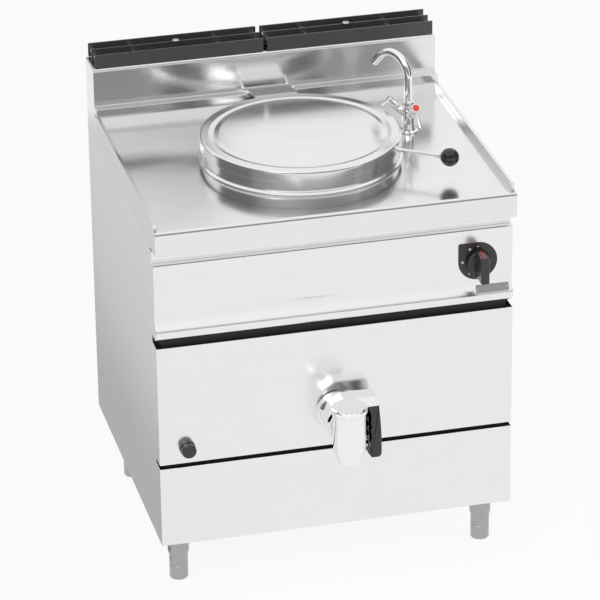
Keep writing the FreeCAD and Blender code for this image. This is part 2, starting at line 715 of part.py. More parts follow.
def make_worktop():
    """The pressed top: rounded front edge, flat deck, rear slope and shelf, two raised side rims."""
    sheet = S.top_gauge
    body = new_body("worktop")
    slope = LEDGE - S.rear_run
    add(body, "x", -HALF, HALF, [
        (FRONT, SKIRT), (FRONT, EDGE, S.nose_r, -1), (FRONT + S.nose_r, DECK), (slope, DECK),
        (LEDGE, SHELF), (FLUE, SHELF), (FLUE, SHELF - sheet), (LEDGE, SHELF - sheet),
        (slope, DECK - sheet), (FRONT + S.nose_r, DECK - sheet, S.nose_r - sheet, 1),
        (FRONT + sheet, EDGE), (FRONT + sheet, SKIRT + sheet),
        (FRONT + S.hem, SKIRT + sheet), (FRONT + S.hem, SKIRT)])
    start = FRONT + S.rim_start
    for side in (-1, 1):
        outer = side * HALF
        wall = side * (HALF - sheet)
        inner = side * (HALF - S.rim_width)
        back = side * (HALF - S.rim_width + sheet)
        add(body, "y", start, LEDGE, [
            (outer, SKIRT), (outer, RIM), (inner, RIM), (inner, DECK - sheet),
            (back, DECK - sheet), (back, RIM - sheet), (wall, RIM - sheet), (wall, SKIRT)])
        low, high = sorted((outer, wall), key=float)
        add(body, "x", low, high, [
            (FRONT, SKIRT), (FLUE, SKIRT), (FLUE, SHELF), (LEDGE, SHELF), (LEDGE, RIM - sheet),
            (start, RIM - sheet), (start, DECK), (FRONT + S.nose_r, DECK, S.nose_r, 1),
            (FRONT, EDGE)])
        low, high = sorted((outer, inner), key=float)
        for near, far in ((start, start + sheet), (LEDGE - sheet, LEDGE)):
            add(body, "y", near, far, rectangle(low, EDGE, high, RIM - sheet / 2))
    soften(body, S.top_gauge * 0.9, lambda line: runs_along(line, "y")
           and abs(line.CenterOfMass.z - float(RIM)) < 0.01
           and abs(abs(line.CenterOfMass.x) - float(HALF)) < 0.01)
    cut(body, "z", DECK - sheet - 1, DECK + 1,
        (0, PAN_Y, NECK_R - S.deck_land), (WATER_X, WATER_Y, S.shank_r))
    node(body, "worktop")


def make_flue():
    """The flue upstand: a box with an open, flanged mouth, and the ledge along its foot."""
    sheet = S.top_gauge
    body = new_body("flue_housing")
    add(body, "z", SKIRT, FLUE_TOP, rectangle(-HALF, FLUE, HALF, BACK))
    cut(body, "z", SKIRT - 1, FLUE_TOP - sheet,
        rectangle(-HALF + sheet, FLUE + sheet, HALF - sheet, BACK - sheet))
    flange = S.flue_flange
    cut(body, "z", FLUE_TOP - sheet - 1, FLUE_TOP + 1,
        rectangle(-HALF + flange, FLUE + flange, HALF - flange, BACK - flange))
    soften(body, S.bend, lambda line: runs_along(line, "x")
           and abs(line.CenterOfMass.z - float(FLUE_TOP)) < 0.01
           and abs(line.CenterOfMass.y - float(FLUE)) < 0.01)
    add(body, "x", -HALF, HALF, [
        (LEDGE, SHELF), (LEDGE, LEDGE_TOP), (FLUE + sheet, LEDGE_TOP), (FLUE + sheet, LEDGE_TOP - sheet),
        (LEDGE + sheet, LEDGE_TOP - sheet), (LEDGE + sheet, SHELF)])
    for low, high in ((-HALF, -HALF + sheet), (HALF - sheet, HALF)):
        add(body, "x", low, high, rectangle(LEDGE, RIM, FLUE, LEDGE_TOP - sheet / 2))
    node(body, "flue_housing")
    make_flue_duct()


def make_flue_duct():
    """The square duct that takes the burnt gas from the jacket up to the flue mouth."""
    body = new_body("duct_body")
    wide = S.duct_width / 2
    low = DECK - S.duct_below - S.duct_height
    high = low + S.duct_height
    start = PAN_Y + JACKET_R
    rear = BACK - S.top_gauge - 8
    front = FLUE + S.top_gauge + 6
    top = FLUE_TOP - S.duct_stop
    wall = S.gauge
    add(body, "x", -wide, wide, [
        (start, low), (rear, low), (rear, top), (front, top), (front, high), (start, high)])
    cut(body, "x", -wide + wall, wide - wall, [
        (start - 1, low + wall), (rear - wall, low + wall), (rear - wall, top + 1),
        (front + wall, top + 1), (front + wall, high - wall), (start - 1, high - wall)])
    reach = JACKET_R + S.jacket_wall
    keep = rod("duct_seat", reach, S.work_height, (0, PAN_Y, 0))
    node(boolean("Cut", body, keep, "flue_duct"), "flue_duct")


def make_grates():
    """Two grates on the flue, each of three thin plates on round bars, held by a middle bolt."""
    low = FLUE_TOP + S.grate_lift
    high = low + S.grate_height
    length = HALF - S.grate_inset - S.grate_gap / 2
    front = FLUE + 2
    rear = BACK - 2
    pitch = (rear - front - S.rail_width) / 2
    bolts = []
    for label, side in (("left_flue_grate", -1), ("right_flue_grate", 1)):
        near = side * S.grate_gap / 2
        far = side * (HALF - S.grate_inset)
        ends = sorted((near, far), key=float)
        body = new_body(label)
        rails = []
        for index in range(3):
            y = front + index * pitch
            rails.append(rectangle(ends[0], y, ends[1], y + S.rail_width))
        add(body, "z", low, high, *rails)
        inner = (ends[0] + length / 4, ends[1] - length / 4)
        bar_z = high - S.spacer_r - 2
        for x in (ends[0] + S.spacer_in, *inner, ends[1] - S.spacer_in):
            add(body, "y", front + S.rail_width / 2, rear - S.rail_width / 2, (x, bar_z, S.spacer_r))
        for x in inner:
            add(body, "z", FLUE_TOP, low + 4, rectangle(x - S.spacer_r, front, x + S.spacer_r, rear))
        middle = (ends[0] + length / 2, front + pitch + S.rail_width / 2)
        add(body, "z", low, high, (*middle, S.grate_bolt_r - 3))
        node(body, label)
        bolts.append(rod("grate_bolt", S.grate_bolt_r, S.grate_bolt, (*middle, high)))
    group("grate_bolts", bolts)


def kettle_profile(outset, top):
    """Half of the kettle's section, grown outwards by a sheet's thickness."""
    radius = PAN_R + outset
    bottom = S.pan_bottom + S.top_gauge - outset
    corner = S.knuckle_r + outset
    return [(0, bottom), (radius - corner, bottom, corner, 1), (radius, bottom + corner), (radius, top)]


def make_kettle():
    """The kettle: one drawn shell with a rounded knuckle and an outlet low in its front wall."""
    body = new_body("kettle")
    outside = kettle_profile(S.top_gauge, PAN_RIM)
    inner_radius = PAN_R
    bottom = S.pan_bottom + S.top_gauge
    inside = [(inner_radius, PAN_RIM), (inner_radius, bottom + S.knuckle_r, S.knuckle_r, -1),
              (inner_radius - S.knuckle_r, bottom), (0, bottom)]
    turn(body, "z", (0, PAN_Y), outside + inside)
    cut(body, "y", PAN_Y - PAN_R - 10, PAN_Y,
        (S.tap_x, S.tap_z, S.drain_r - S.drain_wall))
    node(body, "kettle")
    ring = new_body("neck_ring")
    wall = S.top_gauge
    turn(ring, "z", (0, PAN_Y), [
        (NECK_R + S.neck_flare, DECK, S.neck_flare, -1), (NECK_R, DECK + S.neck_flare),
        (NECK_R, PAN_RIM), (PAN_R + wall, PAN_RIM), (PAN_R + wall, PAN_RIM - wall),
        (NECK_R - wall, PAN_RIM - wall), (NECK_R - wall, DECK)])
    node(ring, "neck_ring")


def make_jacket():
    """The combustion jacket round the kettle, open below for the flame, and its insulation."""
    outer = JACKET_R + S.jacket_wall
    skin = JACKET_R + S.gauge
    top = DECK - S.jacket_drop
    high = DECK - S.duct_below - S.gauge
    low = high - S.duct_height + 2 * S.gauge
    wide = S.duct_width / 2 - S.gauge
    body = new_body("heating_jacket")
    turn(body, "z", (0, PAN_Y), [
        (JACKET_R, S.jacket_bottom), (outer, S.jacket_bottom),
        (outer, S.jacket_bottom + S.gauge), (skin, S.jacket_bottom + S.gauge), (skin, top),
        (PAN_R + S.top_gauge, top), (PAN_R + S.top_gauge, top - S.gauge),
        (JACKET_R, top - S.gauge)])
    wool = new_body("jacket_insulation")
    turn(wool, "z", (0, PAN_Y), [
        (skin, S.jacket_bottom + S.gauge), (outer, S.jacket_bottom + S.gauge), (outer, top), (skin, top)])
    for piece in (body, wool):
        cut(piece, "y", PAN_Y - outer - 5, PAN_Y - PAN_R - 6, (S.tap_x, S.tap_z, S.drain_r))
        cut(piece, "y", PAN_Y + PAN_R + 6, PAN_Y + outer + 5, rectangle(-wide, low, wide, high))
        node(piece, piece.Label)


def make_burner():
    """Three slotted burner tubes, their injectors, the manifold and the bars that carry them."""
    start = FRONT + S.burner_front
    end = start + S.burner_length
    injectors = []
    tubes = []
    for label, index in (("left_burner", -1), ("middle_burner", 0), ("right_burner", 1)):
        x = index * S.burner_pitch
        body = new_body(label)
        inner = S.burner_r - S.burner_wall
        add(body, "y", start, end, (x, S.burner_z, S.burner_r))
        cut(body, "y", start - 1, end - S.burner_wall, (x, S.burner_z, inner))
        slots = []
        for step in range(int(float(S.port_count))):
            y = start + S.burner_front * 0.75 + step * S.port_pitch
            slots.append(rectangle(x - inner * 0.7, y, x + inner * 0.7, y + S.port_width))
        cut(body, "z", S.burner_z + S.burner_r * 0.5, S.burner_z + S.burner_r + 1, *slots)
        tubes.append(body)
        injectors.append(rod("injector", S.injector_r, start - FRONT - S.manifold_set + 4,
                             (x, FRONT + S.manifold_set, S.burner_z), Vector(0, 1, 0)))
    group("burner_tubes", tubes)
    reach = S.burner_pitch + 40
    manifold = new_body("manifold_body")
    add(manifold, "x", -reach, KNOB_X, (FRONT + S.manifold_set, S.burner_z, S.manifold_r))
    cut(manifold, "x", -reach + S.pipe_wall, KNOB_X - S.pipe_wall,
        (FRONT + S.manifold_set, S.burner_z, S.manifold_r - S.pipe_wall))
    joined = doc.addObject("Part::MultiFuse", "gas_manifold")
    joined.Shapes = [manifold] + injectors
    node(joined, "gas_manifold")
    bars = []
    for y in (start + 30, end - 30):
        bar = doc.addObject("Part::Box", "support_bar")
        low = S.burner_z - S.burner_r
        bind(bar, "Length", S.width - 2 * S.gauge)
        bind(bar, "Width", S.support_width)
        bind(bar, "Height", S.support_width / 2)
        for letter, number in zip("xyz", (-HALF + S.gauge, y, low - S.support_width / 2)):
            bind_place(bar, letter, number)
        bars.append(bar)
    group("burner_supports", bars)


def make_pilot():
    """The pilot flame's bracket on the left burner, with the electrode and the thermocouple."""
    x = -1 * S.burner_pitch - S.burner_r
    y = FRONT + S.burner_front + 60
    body = new_body("pilot_body")
    add(body, "z", S.burner_z - 8, S.burner_z + S.burner_r + 6, rectangle(x - 4, y, x, y + 24))
    add(body, "z", S.burner_z + 4, S.burner_z + S.burner_r + 14, (x - 9, y + 6, 5.5))
    electrode = rod("spark_electrode", 2, 36, (x - 2, y + 19, S.burner_z - 10))
    pilot = doc.addObject("Part::MultiFuse", "pilot_burner")
    pilot.Shapes = [body, electrode]
    node(pilot, "pilot_burner")
    low = S.burner_z - 60
    tip = (x - 4 - 2, y + 15, S.burner_z + S.burner_r + 4)
    sensor = solid(swept(pipe_path([
        tip, (tip[0], tip[1], low), (tip[0], FRONT + S.manifold_set + 34, low),
        (KNOB_X - 12, FRONT + S.manifold_set + 34, low),
        (KNOB_X - 12, FRONT + S.manifold_set + 34, S.knob_z - 16),
        (KNOB_X - 12, CONTROL_FACE + S.gauge + S.collar_length + S.valve_depth, S.knob_z - 16)], 14), 2),
        "thermocouple")
    node(sensor, "thermocouple")


def make_gas_valve():
    """The gas valve behind the panel, its spindle and pipes, the scale plate and the knob."""
    back = CONTROL_FACE + S.gauge
    front = back + S.collar_length
    rear = front + S.valve_depth
    low = S.knob_z - S.valve_height / 2
    high = S.knob_z + S.valve_height / 2
    body = new_body("gas_valve")
    wide = S.valve_width / 2
    add(body, "y", front, rear, rectangle(KNOB_X - wide, low, KNOB_X + wide, high))
    soften(body, 5, lambda line: runs_along(line, "y"))
    add(body, "y", back, front, (KNOB_X, S.knob_z, S.collar_r))
    cut(body, "y", back - 1, front + 20, (KNOB_X, S.knob_z, S.spindle_r + S.spindle_fit))
    node(body, "gas_valve")
    bezel = new_body("knob_scale_plate")
    plate = CONTROL_FACE - S.bezel_thick
    r = S.bezel_r
    add(bezel, "y", plate, CONTROL_FACE, [
        (KNOB_X - r, S.knob_z, r, 1), (KNOB_X, S.knob_z - r, r, 1),
        (KNOB_X + r, S.knob_z, r, 1), (KNOB_X, S.knob_z + r), (KNOB_X - r, S.knob_z + r)])
    cut(bezel, "y", plate - 1, CONTROL_FACE + 1, (KNOB_X, S.knob_z, S.spindle_r + 2 * S.spindle_fit))
    node(bezel, "knob_scale_plate")
    make_gas_knob(plate)
    make_gas_pipes(low, front)


def make_gas_knob(plate):
    """The round-skirted knob with its grip bar, on the spindle that it turns and pushes along."""
    rear = plate - S.knob_travel - S.knob_play
    skirt = rear - S.knob_skirt
    face = skirt - S.grip_depth
    knob = new_body("gas_knob")
    add(knob, "y", skirt, rear, (KNOB_X, S.knob_z, S.knob_skirt_r))
    wide = S.grip_width / 2
    tall = S.grip_length / 2 - wide
    add(knob, "y", face, skirt, [
        (KNOB_X - wide, S.knob_z - tall, wide, 1), (KNOB_X, S.knob_z - tall - wide, wide, 1),
        (KNOB_X + wide, S.knob_z - tall),
        (KNOB_X + wide, S.knob_z + tall, wide, 1), (KNOB_X, S.knob_z + tall + wide, wide, 1),
        (KNOB_X - wide, S.knob_z + tall)])
    soften(knob, 2, lambda line: abs(line.CenterOfMass.y - float(face)) < 0.01)
    end = rear - S.knob_skirt - 2
    cut(knob, "y", end - S.knob_travel - S.knob_play, rear + 1,
        (KNOB_X, S.knob_z, S.spindle_r + S.spindle_fit))
    node(knob, "gas_knob")
    stop = CONTROL_FACE + S.gauge + S.collar_length + 18
    spindle = new_body("gas_spindle")
    add(spindle, "y", end, stop, (KNOB_X, S.knob_z, S.spindle_r))
    node(spindle, "gas_spindle")


def make_gas_pipes(valve_low, valve_front):
    """The supply from the rear inlet to the valve, and the feed from the valve to the manifold."""
    y = valve_front + S.valve_depth / 2
    inlet = pipe("inlet_tube", [
        (GAS_X, BACK - S.union_length, S.gas_in_z), (GAS_X, y, S.gas_in_z),
        (GAS_X, y, valve_low)], S.gas_pipe_r, S.pipe_wall, S.gas_bend)
    union = new_body("inlet_union")
    add(union, "y", BACK - S.union_length, BACK, (GAS_X, S.gas_in_z, S.union_r))
    cut(union, "y", BACK - S.thread_length, BACK + 1, (GAS_X, S.gas_in_z, S.union_bore_r))
    cut(union, "y", BACK - S.union_length - 1, BACK,
        (GAS_X, S.gas_in_z, S.gas_pipe_r - S.pipe_wall))
    supply = doc.addObject("Part::MultiFuse", "gas_inlet_pipe")
    supply.Shapes = [inlet, union]
    node(supply, "gas_inlet_pipe")
    manifold_y = FRONT + S.manifold_set
    x = KNOB_X - S.gas_pipe_r
    rise = S.burner_z + S.manifold_r
    feed = pipe("burner_feed_pipe", [(x, manifold_y, rise - 0.4), (x, manifold_y, valve_low)],
                S.gas_pipe_r - 1.5, S.pipe_wall, S.gas_bend)
    seat = swept(pipe_path([(-HALF, manifold_y, S.burner_z), (HALF, manifold_y, S.burner_z)], 1),
                 S.manifold_r)
    feed.Shape = feed.Shape.cut(seat)
    node(feed, "burner_feed_pipe")


def make_igniter():
    """The push igniter: a black collar on the panel, its body behind and the round button."""
    rear = FACE + S.spark_body
    collar = FACE - S.spark_collar
    body = new_body("igniter_housing")
    add(body, "y", collar, FACE, (SPARK_X, S.spark_z, S.spark_collar_r))
    add(body, "y", FACE, rear, (SPARK_X, S.spark_z, S.spark_body_r))
    cut(body, "y", collar - 1, FACE - 1, (SPARK_X, S.spark_z, S.spark_r + S.spark_play))
    cut(body, "y", FACE - 2, rear - 4, (SPARK_X, S.spark_z, S.spark_stem_r + S.spindle_fit))
    soften(body, 0.6, lambda line: abs(line.CenterOfMass.y - float(collar)) < 0.01
           and line.Length > 2 * math.pi * (float(S.spark_collar_r) - 0.5))
    node(body, "igniter_housing")
    button = new_body("igniter_button")
    front = FACE - S.spark_reach
    inner = FACE - 1 - S.spark_travel - 0.4
    add(button, "y", front, inner, (SPARK_X, S.spark_z, S.spark_r))
    soften(button, 2, lambda line: abs(line.CenterOfMass.y - float(front)) < 0.01)
    add(button, "y", inner, rear - 4 - S.spark_travel - 1, (SPARK_X, S.spark_z, S.spark_stem_r))
    node(button, "igniter_button")


def make_drain():
    """The drain pipe with its flange, the tap's body and cap, and the lever that turns the plug."""
    tail = FACE - S.flange_thick
    plug_rear = tail - 12
    pipe_body = new_body("drain_pipe_body")
    add(pipe_body, "y", plug_rear, PAN_Y - PAN_R + S.knuckle_r, (S.tap_x, S.tap_z, S.drain_r))
    cut(pipe_body, "y", plug_rear - 1, PAN_Y, (S.tap_x, S.tap_z, S.drain_r - S.drain_wall))
    shell = new_body("kettle_outside")
    turn(shell, "z", (0, PAN_Y), kettle_profile(S.top_gauge, PAN_RIM) + [(0, PAN_RIM)])
    node(boolean("Cut", pipe_body, shell, "drain_pipe"), "drain_pipe")

    flange = new_body("drain_flange")
    add(flange, "y", FACE - S.flange_rim, FACE, (S.tap_x, S.tap_z, S.flange_r), (S.tap_x, S.tap_z, S.drain_r))
    add(flange, "y", tail, FACE, (S.tap_x, S.tap_z, S.flange_r - S.flange_step),
        (S.tap_x, S.tap_z, S.drain_r))
    soften(flange, 2, lambda line: line.Length > 250 and abs(line.CenterOfMass.y - float(FACE)) > 1)
    node(flange, "drain_flange")
    make_tap_body(tail, plug_rear)
    make_plug_and_lever(plug_rear)


def make_tap_body(tail, plug_rear):
    """The tap: a lying barrel that holds the plug, crossed by the standing spout."""
    body = new_body("tap_casting")
    seat = S.tap_z + S.cap_seat
    mouth = S.tap_z - S.spout_drop
    add(body, "y", SPOUT_Y, tail, (S.tap_x, S.tap_z, S.barrel_out_r))
    turn(body, "z", (S.tap_x, SPOUT_Y), [
        (0, mouth), (S.spout_mouth_r, mouth), (S.spout_r, mouth + S.spout_taper), (S.spout_r, seat),
        (0, seat)])
    cut(body, "y", SPOUT_Y - S.spout_bore_r - 4, tail + 1, (S.tap_x, S.tap_z, S.plug_r + S.plug_fit))
    cut(body, "y", plug_rear, tail + 1, (S.tap_x, S.tap_z, S.drain_r))
    shoulder = mouth + S.outlet_depth
    cut(body, "z", mouth - 1, shoulder, (S.tap_x, SPOUT_Y, S.spout_bore_r))
    cut(body, "z", shoulder - 1, S.tap_z, (S.tap_x, SPOUT_Y, S.spout_bore_r - 2))
    ring = FRONT - S.ring_set - S.ring_thick / 2
    play = S.lever_pin_r + 0.4
    slot = rod("slot_sector", S.barrel_out_r + 1, 2 * play, (S.tap_x, ring + play, S.tap_z),
               angle=S.lever_swing + 24)
    slot.Placement.Rotation = Rotation(Vector(1, 0, 0), Vector(0, 0, 1), Vector(0, -1, 0), "XZY").multiply(
        Rotation(Vector(0, 0, 1), 135 - 12))
    node(boolean("Cut", body, slot, "drain_tap_body"), "drain_tap_body")
    cap = new_body("drain_tap_cap")
    top = seat + S.cap_height
    turn(cap, "z", (S.tap_x, SPOUT_Y), [
        (0, seat), (S.cap_r - 3, seat), (S.cap_r, seat + 4), (S.cap_r, top - 4, 4, 1),
        (S.cap_r - 4, top), (0, top)])
    node(cap, "drain_tap_cap")


def make_plug_and_lever(plug_rear):
    """The hollow plug with a port in its side, and the ring, arm and grip that turn it."""
    plug = new_body("plug_body")
    tip = SPOUT_Y - S.spout_bore_r - 3.5
    start = plug_rear - 0.5
    add(plug, "y", tip, start, (S.tap_x, S.tap_z, S.plug_r))
    cut(plug, "y", tip + S.plug_wall, start + 1, (S.tap_x, S.tap_z, S.plug_r - S.plug_wall))
    cut(plug, "x", S.tap_x - S.plug_r - 1, S.tap_x, (SPOUT_Y, S.tap_z, S.port_r))
    ring_y = FRONT - S.ring_set
    middle = ring_y - S.ring_thick / 2
    slant = math.sqrt(0.5)
    pin_from = S.plug_r - S.plug_wall
    pin = rod("lever_pin", S.lever_pin_r, S.ring_r - pin_from - 6,
              (S.tap_x - pin_from * slant, middle, S.tap_z + pin_from * slant), Vector(-1, 0, 1))
    node(pin, "lever_pin")
    node(boolean("Cut", plug, pin, "drain_plug"), "drain_plug")

    lever = new_body("lever_casting")
    low = S.arm_top - S.arm_tall
    add(lever, "y", middle - S.ring_thick / 2, ring_y, (S.tap_x, S.tap_z, S.ring_r),
        (S.tap_x, S.tap_z, S.barrel_out_r + S.ring_play))
    arm = [(S.tap_x - 2, S.tap_z + S.arm_top)]
    for across, up in ((0.69, 1), (0.985, 0.19), (0.75, 0.19), (0.57, 0.57)):
        arm.append((S.tap_x - S.ring_r * across, S.tap_z + S.ring_r * up))
    add(lever, "y", middle - S.ring_thick / 2, ring_y, arm + [
        (S.tap_x, S.tap_z + low), (S.tap_x + S.arm_reach, S.tap_z + low),
        (S.tap_x + S.arm_reach, S.tap_z + S.arm_top)])
    soften(lever, 3, lambda line: runs_along(line, "y")
           and abs(line.CenterOfMass.x - float(S.tap_x + S.arm_reach)) < 0.01)
    bored = boolean("Cut", lever, pin, "bored_lever")
    screw = make_grip(ring_y, low)
    joined = doc.addObject("Part::MultiFuse", "drain_lever")
    joined.Shapes = [bored, screw]
    node(joined, "drain_lever")


def make_grip(ring_y, low):
    """The black grip under the arm's end, with four finger hollows on its inner side."""
    grip = new_body("lever_grip")
    top = S.tap_z + low
    bottom = top - S.handle_length
    inner = S.tap_x + S.handle_x - S.handle_width / 2
    outer = inner + S.handle_width
    hollow = (S.handle_length - 22) / 4
    reach = hollow * 0.62
    side = [(inner + 4, top), (inner, top - 6)]
    for index in range(4):
        side.append((inner, top - 6 - hollow * index, reach, -1))
    side.append((inner, top - 6 - hollow * 4))
    side.append((inner + S.finger_depth, bottom, 90, 1))
    front = ring_y - S.ring_thick
    add(grip, "y", front, front + S.handle_depth, dedupe(side) + [
        (outer - 6, bottom), (outer - 1, bottom + 8, 420, 1), (outer - 6, top)])
    soften(grip, 4, lambda line: line.CenterOfMass.x > float(outer) - 4
           and not runs_along(line, "y") and line.Length > 50)
    node(grip, "lever_grip")
    screw = rod("lever_screw", 4.5, 3, (S.tap_x + S.handle_x - 2,
                                        ring_y - S.ring_thick, S.tap_z + low + S.arm_tall / 2),
                Vector(0, -1, 0))
    return screw


def dedupe(corners):
    """Drop a corner that repeats the one before it, keeping the one that starts an arc."""
    kept = []
    for corner in corners:
        if kept and abs(float(kept[-1][0]) - float(corner[0])) < 1e-6 \
                and abs(float(kept[-1][1]) - float(corner[1])) < 1e-6:
            kept.pop()
        kept.append(corner)
    return kept


def make_lid():
    """The lid: a pressed shell with a ring groove, its hinge arm, handle rod and ball."""
    sheet = S.top_gauge
    body = new_body("lid_shell")
    r = LID_R
    edge = S.lid_edge
    dip = GROOVE_R
    swell = S.groove_width / 2
    turn(body, "z", (0, PAN_Y), [
        (0, LID_TOP), (0, LID_TOP - sheet), (dip - swell, LID_TOP - sheet),
        (dip, LID_TOP - sheet - S.groove_depth), (dip + swell, LID_TOP - sheet),
        (r - edge, LID_TOP - sheet, edge - sheet, -1), (r - sheet, LID_TOP - edge),
        (r - sheet, LID_BOTTOM), (r, LID_BOTTOM), (r, LID_TOP - edge, edge, 1), (r - edge, LID_TOP),
        (dip + swell, LID_TOP), (dip, LID_TOP - S.groove_depth), (dip - swell, LID_TOP)])
    node(body, "lid_shell")
    turned_rod = math.radians(float(S.rod_turn))
    away = Vector(math.cos(turned_rod), -math.sin(turned_rod), 0)
    start = LID_R - 0.4
    stick = rod("handle_stick", S.rod_r, BALL_REACH - S.ball_r + S.ball_bore - start,
                along(away, start), away)
    ball = doc.addObject("Part::Sphere", "ball")
    bind(ball, "Radius", S.ball_r)
    for letter, number in zip("xyz", along(away, BALL_REACH)):
        bind_place(ball, letter, number)
    node(boolean("Cut", ball, stick, "lid_knob"), "lid_knob")
    cover = rod("lid_outside", LID_R, S.lid_skirt, (0, PAN_Y, LID_BOTTOM))
    node(boolean("Cut", stick, cover, "lid_handle_rod"), "lid_handle_rod")
    make_hinge(cover)


def along(away, reach):
    """A point at a distance from the kettle's axis, at the height of the lid's handle."""
    return (reach * round(away.x, 9), PAN_Y + reach * round(away.y, 9), ROD_Z)


def make_hinge(cover):
    """The lid's flat arm with its barrel, the pin through it and the bracket on the ledge."""
    wide = S.arm_width / 2
    arm = new_body("arm_body")
    top = LID_TOP - S.top_gauge
    barrel = PIN_Z + S.barrel_r
    deep = S.arm_thick
    add(arm, "x", -wide, wide, [
        (PAN_Y + LID_R - 30, top), (PAN_Y + LID_R + 6, top), (PIN_Y, barrel),
        (PIN_Y, barrel - deep), (PAN_Y + LID_R + 6, top - deep), (PAN_Y + LID_R - 30, top - deep)])
    add(arm, "x", -wide, wide, (PIN_Y, PIN_Z, S.barrel_r))
    cut(arm, "x", -wide - 1, wide + 1, (PIN_Y, PIN_Z, S.pin_r + S.pin_fit))
    node(boolean("Cut", arm, cover, "lid_hinge_arm"), "lid_hinge_arm")
    bracket = new_body("hinge_bracket")
    inner = wide + S.ear_gap
    outer = inner + S.ear_thick
    heel = FLUE - 3
    for side in (-1, 1):
        low, high = sorted((side * inner, side * outer), key=float)
        add(bracket, "x", low, high, [
            (PIN_Y - 7, PIN_Z - 5), (PIN_Y - 7, PIN_Z + 5, 8.5, -1), (PIN_Y + 7, PIN_Z + 5),
            (heel, LEDGE_TOP + 3), (heel, LEDGE_TOP), (LEDGE, LEDGE_TOP), (PIN_Y + 4, PIN_Z - 8),
            (PIN_Y - 3, PIN_Z - 8)])
    add(bracket, "z", LEDGE_TOP, LEDGE_TOP + 3, rectangle(-outer, LEDGE + 12, outer, heel))
    cut(bracket, "x", -outer - 1, outer + 1, (PIN_Y, PIN_Z, S.pin_r))
    node(bracket, "hinge_bracket")
    pin = new_body("hinge_pin")
    add(pin, "x", -outer, outer, (PIN_Y, PIN_Z, S.pin_r))
    for low, high in ((-outer - S.pin_head, -outer), (outer, outer + S.pin_head)):
        add(pin, "x", low, high, (PIN_Y, PIN_Z, S.pin_r + 2))
    node(pin, "hinge_pin")


def make_water_tap():
    """The water tap: foot, body with two valve necks, swivelling swan neck and two handles."""
    body = new_body("tap_column")
    high = DECK + S.water_base + S.water_body
    bore = S.swivel_r + S.swivel_fit
    place = (WATER_X, WATER_Y)
    turn(body, "z", place, [
        (0, DECK), (S.water_base_r, DECK), (S.water_base_r, DECK + 2), (S.water_body_r, DECK + S.water_base),
        (S.water_body_r, high), (S.spout_tube_r + 1, high + S.cone_height),
        (bore, high + S.cone_height), (bore, high + S.cone_height - S.swivel_length - 1),
        (0, high + S.cone_height - S.swivel_length - 1)])
    necks = []
    hubs = []
    for label, across, forward, up, sweep in (
            ("cold_water", -0.68, 0.28, 0.68, Vector(-0.13, 0.86, -0.49)),
            ("hot_water", 0.07, -0.76, 0.645, Vector(0.12, -0.64, -0.77))):
        away = Vector(across, forward, up).normalize()
        crossing = (WATER_X, WATER_Y, DECK + S.valve_rise)
        necks.append(rod("valve_neck", S.valve_neck_r, S.valve_out, crossing, away))
        hubs.append((label, away, sweep))
    fused = doc.addObject("Part::MultiFuse", "tap_fused")
    shank = rod("water_shank", S.shank_r, S.shank_length + 1, (WATER_X, WATER_Y, DECK - S.shank_length))
    fused.Shapes = [body, shank] + necks
    seats = [rod("stem_seat", S.stem_r + S.stem_fit, S.stem_length + 2,
                 step_from(away, S.valve_out - S.stem_length - 1), away)
             for label, away, sweep in hubs]
    seats.append(rod("spout_seat", bore, S.swivel_length + 2,
                     (WATER_X, WATER_Y, high + S.cone_height - S.swivel_length - 1)))
    bores = doc.addObject("Part::MultiFuse", "stem_seats")
    bores.Shapes = seats
    node(boolean("Cut", fused, bores, "water_tap_body"), "water_tap_body")
    for label, away, sweep in hubs:
        make_water_handle(label, away, sweep)
    make_swan_neck(high + S.cone_height)
    make_shank()


def step_from(away, distance):
    """A point on a valve's axis, at a distance from where the two valves cross."""
    return (WATER_X + distance * away.x, WATER_Y + distance * away.y,
            DECK + S.valve_rise + distance * away.z)


def make_water_handle(label, away, sweep):
    """A handle that turns about its own valve: hub with stem, thin lever and index disc."""
    start = S.valve_out + S.hub_gap
    hub = rod("hub", S.hub_r, S.hub_length, step_from(away, start), away)
    stem = rod("stem", S.stem_r, S.stem_length + 1, step_from(away, S.valve_out - S.stem_length + S.hub_gap),
               away)
    level = start + S.hub_length * 0.7
    aside = (sweep - away * sweep.dot(away)).normalize()
    bar = doc.addObject("Part::Cone", "lever_bar")
    bind(bar, "Radius1", S.lever_r)
    bind(bar, "Radius2", S.lever_r * 1.5)
    bind(bar, "Height", S.lever_length)
    bar.Placement = Placement(Vector(), Rotation(Vector(0, 0, 1), aside))
    for letter, number in zip("xyz", step_from(away, level)):
        bind_place(bar, letter, number)
    joined = doc.addObject("Part::MultiFuse", f"{label}_handle")
    joined.Shapes = [hub, stem, bar]
    node(joined, f"{label}_handle")
    disc = rod(f"{label}_index", S.index_r, S.index_thick, step_from(away, start + S.hub_length), away)
    node(disc, f"{label}_index")


